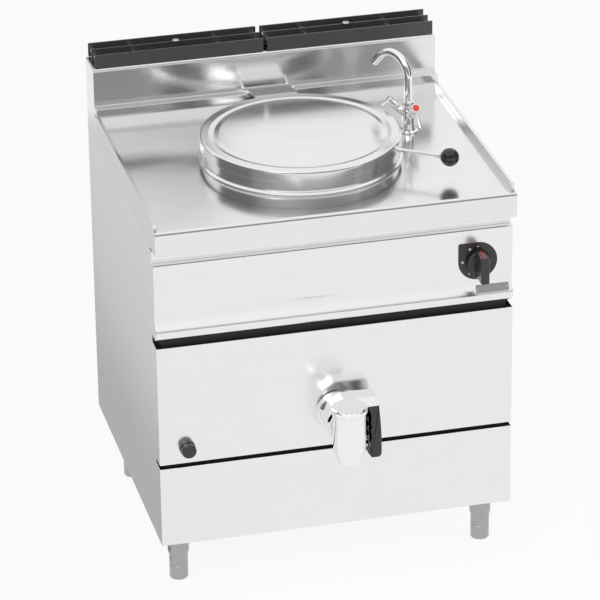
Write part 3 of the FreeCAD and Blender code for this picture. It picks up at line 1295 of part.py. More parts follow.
def make_swan_neck(top):
    """The swan neck: a stem in the body, a straight rise, an arch and a straight end."""
    turned_to = math.radians(float(S.spout_turn))
    away = Vector(math.cos(turned_to), math.sin(turned_to), 0)
    radius = float(S.spout_arc_r)
    foot = Vector(float(WATER_X), float(WATER_Y), float(top) + 0.3)
    start = Vector(foot.x, foot.y, float(DECK + S.spout_top))
    centre = start + away * radius
    sweep = math.radians(float(S.spout_sweep))
    spots = [centre - away * radius * math.cos(angle) + Vector(0, 0, radius * math.sin(angle))
             for angle in (sweep / 2, sweep)]
    onward = away * math.sin(sweep) + Vector(0, 0, math.cos(sweep))
    path = Part.Wire([
        Part.LineSegment(foot, start).toShape(), Part.Arc(start, *spots).toShape(),
        Part.LineSegment(spots[1], spots[1] + onward * float(S.spout_end)).toShape()])
    inner = float(S.spout_tube_r - S.spout_tube_wall)
    tube = swept(path, S.spout_tube_r).cut(swept(path, inner))
    stem = Part.makeCylinder(float(S.swivel_r), float(S.swivel_length) + 8,
                             foot - Vector(0, 0, float(S.swivel_length)))
    plate = Part.makeCylinder(inner, 6, foot)
    node(solid(tube.fuse([stem, plate]).removeSplitter(), "water_spout"), "water_spout")


def make_shank():
    """The nut under the deck and the two water pipes that run to the back."""
    low = DECK - S.shank_length
    sheet = DECK - S.top_gauge
    nut = new_body("water_nut")
    add(nut, "z", sheet - S.shank_nut, sheet, (WATER_X, WATER_Y, S.shank_nut_r),
        (WATER_X, WATER_Y, S.shank_r))
    node(nut, "water_nut")
    tubes = []
    for label, side in (("cold_water_pipe", -1), ("hot_water_pipe", 1)):
        x = WATER_X + side * S.water_pipe_gap / 2
        tube = pipe(label, [(x, WATER_Y, low), (x, WATER_Y, S.water_in_z), (x, BACK, S.water_in_z)],
                    S.water_pipe_r, 1, S.water_bend)
        tubes.append(tube)
    group("water_supply_pipes", tubes)


def make_feet():
    """Four leg sleeves under the tray and the four levelling feet that screw into them."""
    sleeve_low = CABINET - S.sleeve_length
    shoulder = sleeve_low - S.foot_seat
    stem_top = CABINET - S.foot_stem_top
    sleeves = []
    front, rear = FRONT + S.foot_front, BACK - S.foot_back
    for place, side, y in (("front_left", -1, front), ("front_right", 1, front),
                           ("rear_left", -1, rear), ("rear_right", 1, rear)):
        at = (side * FOOT_X, y)
        bore = S.foot_stem_r + S.foot_fit
        sleeve = new_body(f"{place}_leg")
        turn(sleeve, "z", at, [
            (bore, sleeve_low), (S.foot_r + 0.5, sleeve_low), (S.sleeve_r, sleeve_low + S.sleeve_taper),
            (S.sleeve_r, CABINET - S.sleeve_plate), (S.sleeve_plate_r, CABINET - S.sleeve_plate),
            (S.sleeve_plate_r, CABINET), (bore, CABINET)])
        sleeves.append(sleeve)
        foot = new_body(f"{place}_foot")
        turn(foot, "z", at, [
            (0, 0), (S.foot_r - S.foot_edge, 0, S.foot_edge, 1), (S.foot_r, S.foot_edge),
            (S.foot_r, shoulder), (S.foot_stem_r, shoulder), (S.foot_stem_r, stem_top), (0, stem_top)])
        node(foot, f"{place}_foot")
    group("leg_sleeves", sleeves)


def owner_label(item):
    """The name of the body that holds an object."""
    owner = item.getParentGeoFeatureGroup()
    return owner.Label if owner else "the document"


def check_document():
    """Stop if any object failed or any piece is empty or invalid."""
    failed = [item for item in doc.Objects if "Invalid" in item.State or "Error" in item.State]
    if failed:
        raise RuntimeError("failed: " + ", ".join(
            f"{item.Name} in {owner_label(item)}" for item in failed))
    empty = [item.Label for item in NODES
             if item.Shape.isNull() or not item.Shape.isValid() or not item.Shape.Solids]
    if empty:
        raise RuntimeError("no valid shape: " + ", ".join(empty))


def export_nodes():
    """Write one STEP file for each piece."""
    os.makedirs("parts", exist_ok=True)
    for item in NODES:
        item.Shape.exportStep(os.path.join("parts", f"{item.Label}.step"))


def main():
    """Build every piece, check the document and write the files."""
    make_side_panels()
    make_rear_panel()
    make_base_tray()
    make_front_panels()
    make_control_panel()
    make_worktop()
    make_flue()
    make_grates()
    make_kettle()
    make_jacket()
    make_burner()
    make_pilot()
    make_gas_valve()
    make_igniter()
    make_drain()
    make_lid()
    make_water_tap()
    make_feet()
    doc.recompute()
    check_document()
    export_nodes()
    for item in NODES:
        box = item.Shape.BoundBox
        print(f"{item.Label:22s} {len(item.Shape.Solids)} solids {item.Shape.Volume / 1000:10.1f} cm3  "
              f"x {box.XMin:7.1f} {box.XMax:7.1f}  y {box.YMin:7.1f} {box.YMax:7.1f}  "
              f"z {box.ZMin:7.1f} {box.ZMax:7.1f}")


main()
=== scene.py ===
import json
import math

import bmesh
import bpy
import numpy as np
from mathutils import Matrix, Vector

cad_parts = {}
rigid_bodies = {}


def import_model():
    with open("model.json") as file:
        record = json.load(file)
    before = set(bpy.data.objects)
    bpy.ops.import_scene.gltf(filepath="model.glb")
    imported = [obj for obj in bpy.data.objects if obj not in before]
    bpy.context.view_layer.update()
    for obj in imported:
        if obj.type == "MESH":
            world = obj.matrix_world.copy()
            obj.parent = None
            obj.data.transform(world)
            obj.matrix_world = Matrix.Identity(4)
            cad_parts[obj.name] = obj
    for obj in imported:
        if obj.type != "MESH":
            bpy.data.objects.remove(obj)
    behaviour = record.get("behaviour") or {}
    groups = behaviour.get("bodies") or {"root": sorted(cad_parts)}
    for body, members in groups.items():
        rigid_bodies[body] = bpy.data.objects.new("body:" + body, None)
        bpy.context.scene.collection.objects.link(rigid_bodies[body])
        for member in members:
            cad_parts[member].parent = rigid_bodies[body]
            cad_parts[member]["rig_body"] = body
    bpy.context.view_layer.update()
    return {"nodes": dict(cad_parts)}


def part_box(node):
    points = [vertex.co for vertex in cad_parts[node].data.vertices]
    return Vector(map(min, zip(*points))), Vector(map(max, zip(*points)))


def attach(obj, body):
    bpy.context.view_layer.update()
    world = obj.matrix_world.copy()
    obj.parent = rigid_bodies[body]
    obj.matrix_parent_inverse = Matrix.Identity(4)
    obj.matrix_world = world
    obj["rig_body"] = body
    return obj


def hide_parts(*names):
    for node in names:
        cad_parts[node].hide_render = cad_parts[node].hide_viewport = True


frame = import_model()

bl_info = {
    "name": "Boiling Kettle Dressing",
    "version": (1, 0, 0),
    "blender": (4, 5, 0),
    "location": "3D View > Sidebar > Kettle",
    "description": "Finishes, turned and cast pieces and the studio for a gas boiling kettle",
    "category": "Object",
}

MM = 0.001
TAU = 2 * math.pi
ACROSS = (1, 0, 0)
REARWARD = (0, 1, 0)
FORWARD = (0, -1, 0)
UPWARD = np.array([0.0, 0.0, 1.0])
WHITE = (1, 1, 1, 1)

# Places that the taps share with the source, in millimetres
WATER_TAP_SPOT = (266.0, 93.0)
VALVE_HEIGHT = 33.0
COLD_VALVE = (-0.68, 0.28, 0.68)
HOT_VALVE = (0.07, -0.76, 0.645)
COLD_LEVER = (-0.13, 0.86, -0.49)
HOT_LEVER = (0.12, -0.64, -0.77)
SWAN_NECK_TURN = math.radians(122)
ARCH_RADIUS = 48.0
ARCH_SWEEP = math.radians(138)
DRAIN_SPOUT_RADIUS = 36.5
GRIP_FOOT, GRIP_TOP = 308.2, 433.8

# The bare plate's x, its set-back from the panel's foremost line, its z and its lean
PLATE_SPOT = (355.0, 8.1, 652.0)
PLATE_LEAN = (0, 0.447, 0.894)

# The cards that polished steel mirrors: two opposite corners in metres, and a grey
CARDS = {
    "front_card": ((-1.2, -0.46, 0.96), (0.54, -0.46, 1.3), 0.3),
    "rear_card": ((-3.0, 2.2, 1.0), (0.3, 2.2, 1.98), 0.42),
    "left_card": ((-2.6, -2.0, 0.5), (-2.6, 1.5, 3.0), 0.16),
    "right_card": ((2.6, -2.0, 0.5), (2.6, 1.5, 3.0), 0.16),
    # The two floor cards are painted floor shadow, darker near the cabinet, seen only in reflections of the
    # side panel.
    "near_floor_shadow_card": ((-0.58, -0.2, 0.015), (-0.42, 2.4, 0.015), 0.44),
    "far_floor_shadow_card": ((-1.1, -0.2, 0.015), (-0.58, 2.4, 0.015), 0.68),
}
CAMERA_SPOT = (-1.8464, -7.4693, 4.2264)


def unit(vector):
    """A vector, or each row of an array of them, brought to a length of one."""
    vector = np.array(vector, float)
    return vector / np.linalg.norm(vector, axis=-1, keepdims=True)


def corners_of(node):
    """The low and high corners of a CAD node, in millimetres."""
    low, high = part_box(node)
    return np.array(low) / MM, np.array(high) / MM


def middle_of(node):
    """The middle of a CAD node's box, in millimetres."""
    low, high = corners_of(node)
    return (low + high) / 2


# Shader expressions


class Wire:
    """A shader socket in an expression: each operation on it adds one Math node."""

    def __init__(self, recipe, socket):
        self.recipe = recipe
        self.socket = socket

    def math(self, operation, *values):
        return self.recipe.node("ShaderNodeMath", {"operation": operation}, dict(enumerate(values)))

    def beside(self, name):
        """Another output of the same node."""
        return Wire(self.recipe, self.socket.node.outputs[name])

    def greater(self, other):
        return self.math("MAXIMUM", self, other)

    def __add__(self, other):
        return self.math("ADD", self, other)

    def __sub__(self, other):
        return self.math("SUBTRACT", self, other)

    def __rsub__(self, other):
        return self.math("SUBTRACT", other, self)

    def __mul__(self, other):
        return self.math("MULTIPLY", self, other)

    __radd__ = __add__
    __rmul__ = __mul__


class Recipe:
    """The node tree of a material or a world while it is written."""

    def __init__(self, name, collection=None):
        self.owner = (bpy.data.materials if collection is None else collection).new(name)
        self.owner.use_nodes = True
        self.tree = self.owner.node_tree
        self.tree.nodes.clear()

    def node(self, kind, settings=None, sockets=None, output=0):
        """Places a node, sets its settings, then its sockets' values or links, and gives an output."""
        node = self.tree.nodes.new(kind)
        for name, value in (settings or {}).items():
            setattr(node, name, value)
        for name, value in (sockets or {}).items():
            if isinstance(value, Wire):
                self.tree.links.new(value.socket, node.inputs[name])
            else:
                node.inputs[name].default_value = value
        return Wire(self, node.outputs[output]) if node.outputs else None

    def place(self, scale=(1, 1, 1), turn=(0, 0, 0)):
        """Object coordinates, stretched and turned."""
        coordinates = self.node("ShaderNodeTexCoord", output="Object")
        return self.node("ShaderNodeMapping", {}, {"Vector": coordinates, "Scale": scale, "Rotation": turn})

    def noise(self, scale, detail=3.0, stretch=(1, 1, 1), turn=(0, 0, 0)):
        """A noise between 0 and 1 on object coordinates."""
        return self.node("ShaderNodeTexNoise", {}, {
            "Vector": self.place(stretch, turn), "Scale": scale, "Detail": detail, "Roughness": 0.55})

    def between(self, value, low, high, first, last):
        """Carries a value from one range to another, held at its ends."""
        return self.node("ShaderNodeMapRange", {"clamp": True}, {
            "Value": value, "From Min": low, "From Max": high, "To Min": first, "To Max": last})

    def shades(self, share, colour, first, last):
        """A colour that runs between two shares of one colour, from darker to lighter or back."""
        ends = [tuple(min(1.0, part * level) for part in colour[:3]) + (1.0,) for level in (first, last)]
        settings = {"data_type": "RGBA", "blend_type": "MIX"}
        return self.node("ShaderNodeMix", settings, {0: share, 6: ends[0], 7: ends[1]}, 2)

    def bump(self, height, strength, distance):
        """A surface normal raised by a height."""
        return self.node("ShaderNodeBump", {}, {
            "Height": height, "Strength": strength, "Distance": distance})

    def blend(self, share, first, second):
        """One shader fading into another."""
        return self.node("ShaderNodeMixShader", {}, {0: share, 1: first, 2: second})

    def principled(self, sockets):
        return self.node("ShaderNodeBsdfPrincipled", {}, sockets)

    def finish(self, sockets):
        """Closes the material with one surface shader."""
        self.node("ShaderNodeOutputMaterial", {}, {"Surface": self.principled(sockets)})


def sheet_steel(name, colour, grain, gloss, streak):
    """Sheet steel: drawn-out grain lines along one axis, faint clouding and a soft sheen."""
    recipe = Recipe(name)
    lines = recipe.noise(1.0, 2.0, grain)
    clouds = recipe.noise(3.5)
    wear = recipe.noise(24.0, 4.0)
    shade = recipe.between(lines, 0.3, 0.7, 0.0, 0.3) + recipe.between(wear, 0.45, 0.8, 0.0, 0.2)
    recipe.finish({
        "Base Color": recipe.shades(shade, colour, 1.0, 0.95),
        "Metallic": 1.0,
        "Roughness": recipe.between(lines, 0.3, 0.7, gloss - streak, gloss + streak)
        + recipe.between(clouds, 0.3, 0.7, -0.02, 0.02),
        "Normal": recipe.bump(lines, 0.02, 0.0002),
    })


def polished_steel(name, colour, gloss):
    """Mirror-polished steel: hair scratches in two directions and slow waves from pressing."""
    recipe = Recipe(name)
    across = recipe.noise(1.0, 2.0, (900, 14, 900))
    along = recipe.noise(1.0, 2.0, (16, 700, 700), (0, 0, 0.3))
    waves = recipe.noise(6.0, 1.0)
    smears = recipe.noise(9.0, 4.0, (1, 2, 1))
    scratches = recipe.between(across, 0.62, 0.72, 0.0, 0.5) + recipe.between(along, 0.64, 0.74, 0.0, 0.5)
    recipe.finish({
        "Base Color": recipe.shades(smears, colour, 1.0, 0.95),
        "Metallic": 1.0,
        "Roughness": gloss + scratches * 0.05 + recipe.between(smears, 0.35, 0.75, 0.0, 0.05),
        "Normal": recipe.bump(waves, 0.02, 0.0012),
    })


def plated(name, colour, gloss):
    """Chrome plating over a casting: near mirror, slightly uneven, with water marks."""
    recipe = Recipe(name)
    skin = recipe.noise(160.0, 2.0)
    marks = recipe.noise(55.0, 4.0)
    recipe.finish({
        "Base Color": recipe.shades(recipe.between(marks, 0.5, 0.8, 0.0, 0.4), colour, 1.0, 0.9),
        "Metallic": 1.0,
        "Roughness": gloss + recipe.between(marks, 0.45, 0.8, 0.0, 0.08),
        "Normal": recipe.bump(skin, 0.03, 0.0005),
    })


def moulded(name, colour, gloss, pitch):
    """Moulded phenolic or plastic: a fine skin, slight mottling and a thin clear gloss."""
    recipe = Recipe(name)
    skin = recipe.noise(pitch)
    mottle = recipe.noise(60.0)
    recipe.finish({
        "Base Color": recipe.shades(recipe.between(mottle, 0.4, 0.7, 0.0, 0.6), colour, 1.0, 1.12),
        "Roughness": gloss + recipe.between(mottle, 0.4, 0.7, 0.0, 0.03),
        "Coat Weight": recipe.between(mottle, 0.3, 0.7, 0.35, 0.3),
        "Coat Roughness": gloss * 0.5,
        "Normal": recipe.bump(skin, 0.04, 0.0002),
    })


def enamelled(name, colour):
    """Vitreous enamel on iron: dark, with orange-peel waves and pin holes."""
    recipe = Recipe(name)
    peel = recipe.noise(260.0, 2.0)
    pits = recipe.node("ShaderNodeTexVoronoi", {"feature": "F1"}, {
        "Vector": recipe.place(), "Scale": 420.0}, "Distance")
    height = peel * 0.7 + recipe.between(pits, 0.0, 0.25, 0.0, 0.3)
    recipe.finish({
        "Base Color": recipe.shades(recipe.between(pits, 0.1, 0.3, 0.0, 1.0), colour, 1.7, 1.0),
        "Roughness": recipe.between(peel, 0.3, 0.7, 0.3, 0.44),
        "Coat Weight": 0.3,
        "Coat Roughness": 0.2,
        "Normal": recipe.bump(height, 0.18, 0.0005),
    })


def matt_paint(name, colour):
    """Matt black paint with a fine tooth."""
    recipe = Recipe(name)
    tooth = recipe.noise(900.0, 2.0)
    dust = recipe.noise(12.0, 4.0)
    recipe.finish({
        "Base Color": recipe.shades(recipe.between(dust, 0.5, 0.8, 0.0, 0.5), colour, 1.0, 1.8),
        "Roughness": recipe.between(tooth, 0.3, 0.7, 0.5, 0.7),
        "Normal": recipe.bump(tooth, 0.2, 0.0002),
    })


def raw_metal(name, colour, gloss, pitch):
    """Turned, drawn or cast metal left bare: machining rings or grain and a patchy oxide."""
    recipe = Recipe(name)
    grain = recipe.noise(pitch, 4.0)
    oxide = recipe.noise(18.0, 5.0)
    recipe.finish({
        "Base Color": recipe.shades(recipe.between(oxide, 0.4, 0.75, 0.0, 0.8), colour, 1.0, 0.6),
        "Metallic": 1.0,
        "Roughness": gloss + recipe.between(oxide, 0.4, 0.7, 0.0, 0.18),
        "Normal": recipe.bump(grain, 0.15, 0.0005),
    })


def mineral_wool(name, colour):
    """Pressed mineral wool: matted strands in two directions."""
    recipe = Recipe(name)
    strands = recipe.noise(1.0, 5.0, (60, 60, 600))
    matting = recipe.noise(90.0, 5.0)
    recipe.finish({
        "Base Color": recipe.shades(strands, colour, 1.1, 0.7),
        "Roughness": 0.95,
        "Normal": recipe.bump(strands * 0.6 + matting, 0.8, 0.002),
    })


def printed(name, colour):
    """Printed or enamel-filled marking, slightly worn."""
    recipe = Recipe(name)
    wear = recipe.noise(500.0)
    recipe.finish({
        "Base Color": recipe.shades(recipe.between(wear, 0.5, 0.8, 0.0, 0.5), colour, 1.0, 0.7),
        "Roughness": recipe.between(wear, 0.3, 0.7, 0.3, 0.5),
    })


# Surfaces


def quads_of(rows, columns, wrap_rows, wrap_columns):
    """The four corners of every cell of a grid, whose lines may close on themselves."""
    row = np.arange(rows if wrap_rows else rows - 1)
    column = np.arange(columns if wrap_columns else columns - 1)
    row, column = np.meshgrid(row, column, indexing="ij")
    below, beside = (row + 1) % rows, (column + 1) % columns
    cells = [row * columns + column, row * columns + beside,
             below * columns + beside, below * columns + column]
    return np.stack(cells, axis=-1).reshape(-1, 4)


def surface(points, wrap_rows=False, wrap_columns=True):
    """A mesh through a grid of points in millimetres; a grid wrapped one way gets a flat cap at each end."""
    rows, columns = points.shape[:2]
    faces = quads_of(rows, columns, wrap_rows, wrap_columns).tolist()
    if wrap_columns and not wrap_rows:
        faces.append(list(range(columns))[::-1])
        faces.append(list(range((rows - 1) * columns, rows * columns)))
    mesh = bpy.data.meshes.new("surface")
    mesh.from_pydata((points.reshape(-1, 3) * MM).tolist(), [], faces)
    shell = bmesh.new()
    shell.from_mesh(mesh)
    bmesh.ops.remove_doubles(shell, verts=shell.verts, dist=2e-6)
    bmesh.ops.dissolve_degenerate(shell, edges=shell.edges, dist=1e-7)
    bmesh.ops.recalc_face_normals(shell, faces=shell.faces)
    shell.to_mesh(mesh)
    shell.free()
    return mesh


def joined(name, meshes):
    """Meshes put together as one."""
    shell = bmesh.new()
    for mesh in meshes:
        shell.from_mesh(mesh)
        bpy.data.meshes.remove(mesh)
    whole = bpy.data.meshes.new(name)
    shell.to_mesh(whole)
    shell.free()
    return whole


def add_piece(name, parts, finish, body, node=None, sharp=32, broken=None):
    """Puts meshes in the scene as one piece with its finish, riding on a body in place of a CAD node.
    Edges past the sharp angle stay crisp, or a bevel of (width, segments) breaks them."""
    mesh = joined(name, parts)
    mesh.polygons.foreach_set("use_smooth", np.ones(len(mesh.polygons), dtype=bool))
    mesh.set_sharp_from_angle(angle=math.radians(sharp))
    piece = bpy.data.objects.new(name, mesh)
    bpy.context.scene.collection.objects.link(piece)
    mesh.materials.append(bpy.data.materials[finish])
    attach(piece, body)
    if node:
        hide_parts(node)
    if broken:
        bevel = piece.modifiers.new("broken edges", "BEVEL")
        bevel.width, bevel.segments = broken[0] * MM, broken[1]
        bevel.limit_method = "ANGLE"
        bevel.angle_limit = math.radians(sharp)
        bevel.harden_normals = False
        bevel.use_clamp_overlap = True
    level = piece.modifiers.new("flat faces stay flat", "WEIGHTED_NORMAL")
    level.keep_sharp = True


def add_staged(name, mesh, material):
    """Puts a mesh of the studio in the scene."""
    item = bpy.data.objects.new(name, mesh)
    bpy.context.scene.collection.objects.link(item)
    mesh.materials.append(material)
    return item


def softened(node, finish, width, segments=2):
    """A CAD node's own shape as a merged copy whose sharp edges are broken by a fine bevel."""
    source = frame["nodes"][node]
    mesh = source.data.copy()
    mesh.materials.clear()
    shell = bmesh.new()
    shell.from_mesh(mesh)
    bmesh.ops.remove_doubles(shell, verts=shell.verts, dist=2e-6)
    bmesh.ops.dissolve_limit(shell, angle_limit=math.radians(0.6), verts=shell.verts, edges=shell.edges)
    shell.to_mesh(mesh)
    shell.free()
    add_piece(f"{node}_dressed", [mesh], finish, source["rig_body"], node, 28, (width, segments))


def arc_at(before, corner, after, radius, steps):
    """The fillet arc at a corner: its centre lies on the bisector, radius / sin(half angle) away."""
    if radius <= 0:
        return corner[None, :]
    inward, outward = unit(before - corner), unit(after - corner)
    half = math.acos(np.clip(inward @ outward, -1, 1)) / 2
    if half > math.radians(89.5):
        return corner[None, :]
    back = min(radius / math.tan(half), 0.49 * np.linalg.norm(before - corner),
               0.49 * np.linalg.norm(after - corner))
    radius = back * math.tan(half)
    centre = corner + unit(inward + outward) * radius / math.sin(half)
    first, last = corner + inward * back - centre, corner + outward * back - centre
    start, end = (math.atan2(spoke[1], spoke[0]) for spoke in (first, last))
    sweep = (end - start + math.pi) % TAU - math.pi
    angles = start + sweep * np.linspace(0, 1, steps + 1)
    return centre + radius * np.stack([np.cos(angles), np.sin(angles)], axis=1)


def rounded(corners, steps, closed=False):
    """A line from corners (u, v, radius): each corner becomes an arc tangent to both its sides.
    The ends of an open line stay where they are."""
    spots = np.array([corner[:2] for corner in corners], float)
    radii = [corner[2] if len(corner) > 2 else 0 for corner in corners]
    if not closed:
        radii[0] = radii[-1] = 0
    count = len(corners)
    return np.concatenate([
        arc_at(spots[index - 1], spots[index], spots[(index + 1) % count], radii[index], steps)
        for index in range(count)])


def rectangle(low, high, radius, steps):
    """An oblong outline between two corners, with its own corners rounded."""
    (left, foot), (right, top) = low, high
    corners = [(left, foot), (right, foot), (right, top), (left, top)]
    return rounded([(*corner, radius) for corner in corners], steps, closed=True)


def lathe(profile, origin=(0, 0, 0), axis=UPWARD, segments=96, steps=6):
    """Turns a profile of (radius, height, fillet): point = origin + height * axis
    + radius * (cos a, sin a). A profile that ends where it starts makes a ring."""
    profile = rounded(profile, steps)
    ring = bool(np.allclose(profile[0], profile[-1]))
    if ring:
        profile = profile[:-1]
    along = unit(axis)
    across = unit(np.cross(along, (1.0, 0, 0) if abs(along[0]) < 0.9 else (0, 1.0, 0)))
    beside = np.cross(along, across)
    angles = np.linspace(0, TAU, segments, endpoint=False)
    spokes = np.cos(angles)[:, None] * across + np.sin(angles)[:, None] * beside
    points = (np.array(origin, float) + profile[:, 1, None, None] * along
              + profile[:, 0, None, None] * spokes[None, :, :])
    return surface(points, wrap_rows=ring)


def carry(path, section, side, size, flow=None):
    """Carries a section along a flat path: point = path + size * (u * side + v * (side x flow)),
    where the flow is the path's own direction unless it is given."""
    flow = unit(np.gradient(path, axis=0)) if flow is None else flow
    side = unit(side)
    upright = np.cross(side, flow)
    spread = section[None, :, :] * size[:, None, None]
    return surface(path[:, None, :] + spread[..., 0, None] * side
                   + spread[..., 1, None] * upright[:, None, :])


def circle(count, flat=1.0):
    """A round or flattened section: (cos a, flat * sin a)."""
    angles = np.linspace(0, TAU, count, endpoint=False)
    return np.stack([np.cos(angles), flat * np.sin(angles)], axis=1)


def slab(outline, origin, across, upward, thick, edge, steps=4, bore=None):
    """A plate with rounded rims: the outline shrinks by edge * (1 - sin t) while it rises in a
    quarter circle at the back, and again at the front. A bore (radius, depth) opens its back."""
    across, upward = np.array(across, float), np.array(upward, float)
    after, before = np.roll(outline, -1, axis=0), np.roll(outline, 1, axis=0)
    step = after - before
    normal = unit(np.stack([step[:, 1], -step[:, 0]], axis=1))
    normal *= math.copysign(1, np.sum(outline[:, 0] * after[:, 1] - outline[:, 1] * after[:, 0]))
    turn = np.linspace(0, math.pi / 2, steps + 1)
    shrink = np.concatenate([edge * (1 - np.sin(turn)), edge * (1 - np.cos(turn))])
    height = np.concatenate([edge * (1 - np.cos(turn)), thick - edge + edge * np.sin(turn)])
    rings = outline[None] - normal[None] * shrink[:, None, None]
    if bore:
        hole = outline * (bore[0] / np.linalg.norm(outline, axis=1))[:, None]
        rings = np.concatenate([[hole, hole], rings])
        height = np.concatenate([[bore[1], 0], height])
    return surface(np.array(origin, float) + rings[..., 0, None] * across
                   + rings[..., 1, None] * upward + height[:, None, None] * np.cross(across, upward))


# Sizes and colours that a user would change


class KettleFinishes(bpy.types.PropertyGroup):
    """Colours of the metal and the mouldings."""

    panel_steel: bpy.props.FloatVectorProperty(
        name="Panel Steel", description="Satin sheet of the cabinet", subtype="COLOR", size=3,
        min=0, max=1, default=(0.86, 0.855, 0.86))
    bright_steel: bpy.props.FloatVectorProperty(
        name="Bright Steel", description="Polished worktop, lid and flue", subtype="COLOR", size=3,
        min=0, max=1, default=(0.84, 0.835, 0.84))
    chrome: bpy.props.FloatVectorProperty(
        name="Chrome", description="Plated taps and levers", subtype="COLOR", size=3,
        min=0, max=1, default=(0.88, 0.88, 0.885))
    enamel: bpy.props.FloatVectorProperty(
        name="Enamel", description="Flue grates", subtype="COLOR", size=3,
        min=0, max=1, default=(0.045, 0.044, 0.047))
    phenolic: bpy.props.FloatVectorProperty(
        name="Phenolic", description="Knobs and grips", subtype="COLOR", size=3,
        min=0, max=1, default=(0.014, 0.0135, 0.0145))
    panel_gloss: bpy.props.FloatProperty(
        name="Panel Roughness", description="Roughness of the satin panels", subtype="FACTOR",
        min=0.02, max=1, default=0.2)
    bright_gloss: bpy.props.FloatProperty(
        name="Bright Roughness", description="Roughness of the polished sheet", subtype="FACTOR",
        min=0.01, max=1, default=0.15)


class KettleSizes(bpy.types.PropertyGroup):
    """Small sizes that the dressed pieces add to the CAD's own."""

    edge_break: bpy.props.FloatProperty(
        name="Edge Break", description="Rounding of sheet edges in millimetres", min=0.1, max=3, default=0.7)
    cast_edge: bpy.props.FloatProperty(
        name="Cast Edge", description="Rounding of cast edges in millimetres", min=0.2, max=5, default=2.0)
    plate_width: bpy.props.FloatProperty(
        name="Plate Width", description="Bare plate on the bullnose in millimetres", min=10, max=120,
        default=74)
    plate_height: bpy.props.FloatProperty(
        name="Plate Height", description="Bare plate on the bullnose in millimetres", min=5, max=40,
        default=17)
    mark_radius: bpy.props.FloatProperty(
        name="Mark Radius", description="Dots on the scale plate in millimetres", min=0.5, max=4, default=1.7)


class KettleStudio(bpy.types.PropertyGroup):
    """The camera and the lights."""

    lens: bpy.props.FloatProperty(
        name="Lens", description="Focal length", subtype="DISTANCE_CAMERA", min=20, max=600, default=228.17)
    azimuth: bpy.props.FloatProperty(
        name="Azimuth", description="Camera's turn round the kettle", subtype="ANGLE",
        default=-0.24092)
    elevation: bpy.props.FloatProperty(
        name="Elevation", description="Camera's look down", subtype="ANGLE", default=0.44676)
    roll: bpy.props.FloatProperty(
        name="Roll", description="Camera's roll", subtype="ANGLE", default=-0.01255)
    key_power: bpy.props.FloatProperty(
        name="Key Light", description="Power of the large front light", subtype="POWER", min=0, default=110)
    fill_power: bpy.props.FloatProperty(
        name="Fill Light", description="Power of the right fill light", subtype="POWER", min=0, default=40)
    sky: bpy.props.FloatProperty(
        name="Sky", description="World light on matt surfaces", min=0, max=2, default=0.6)


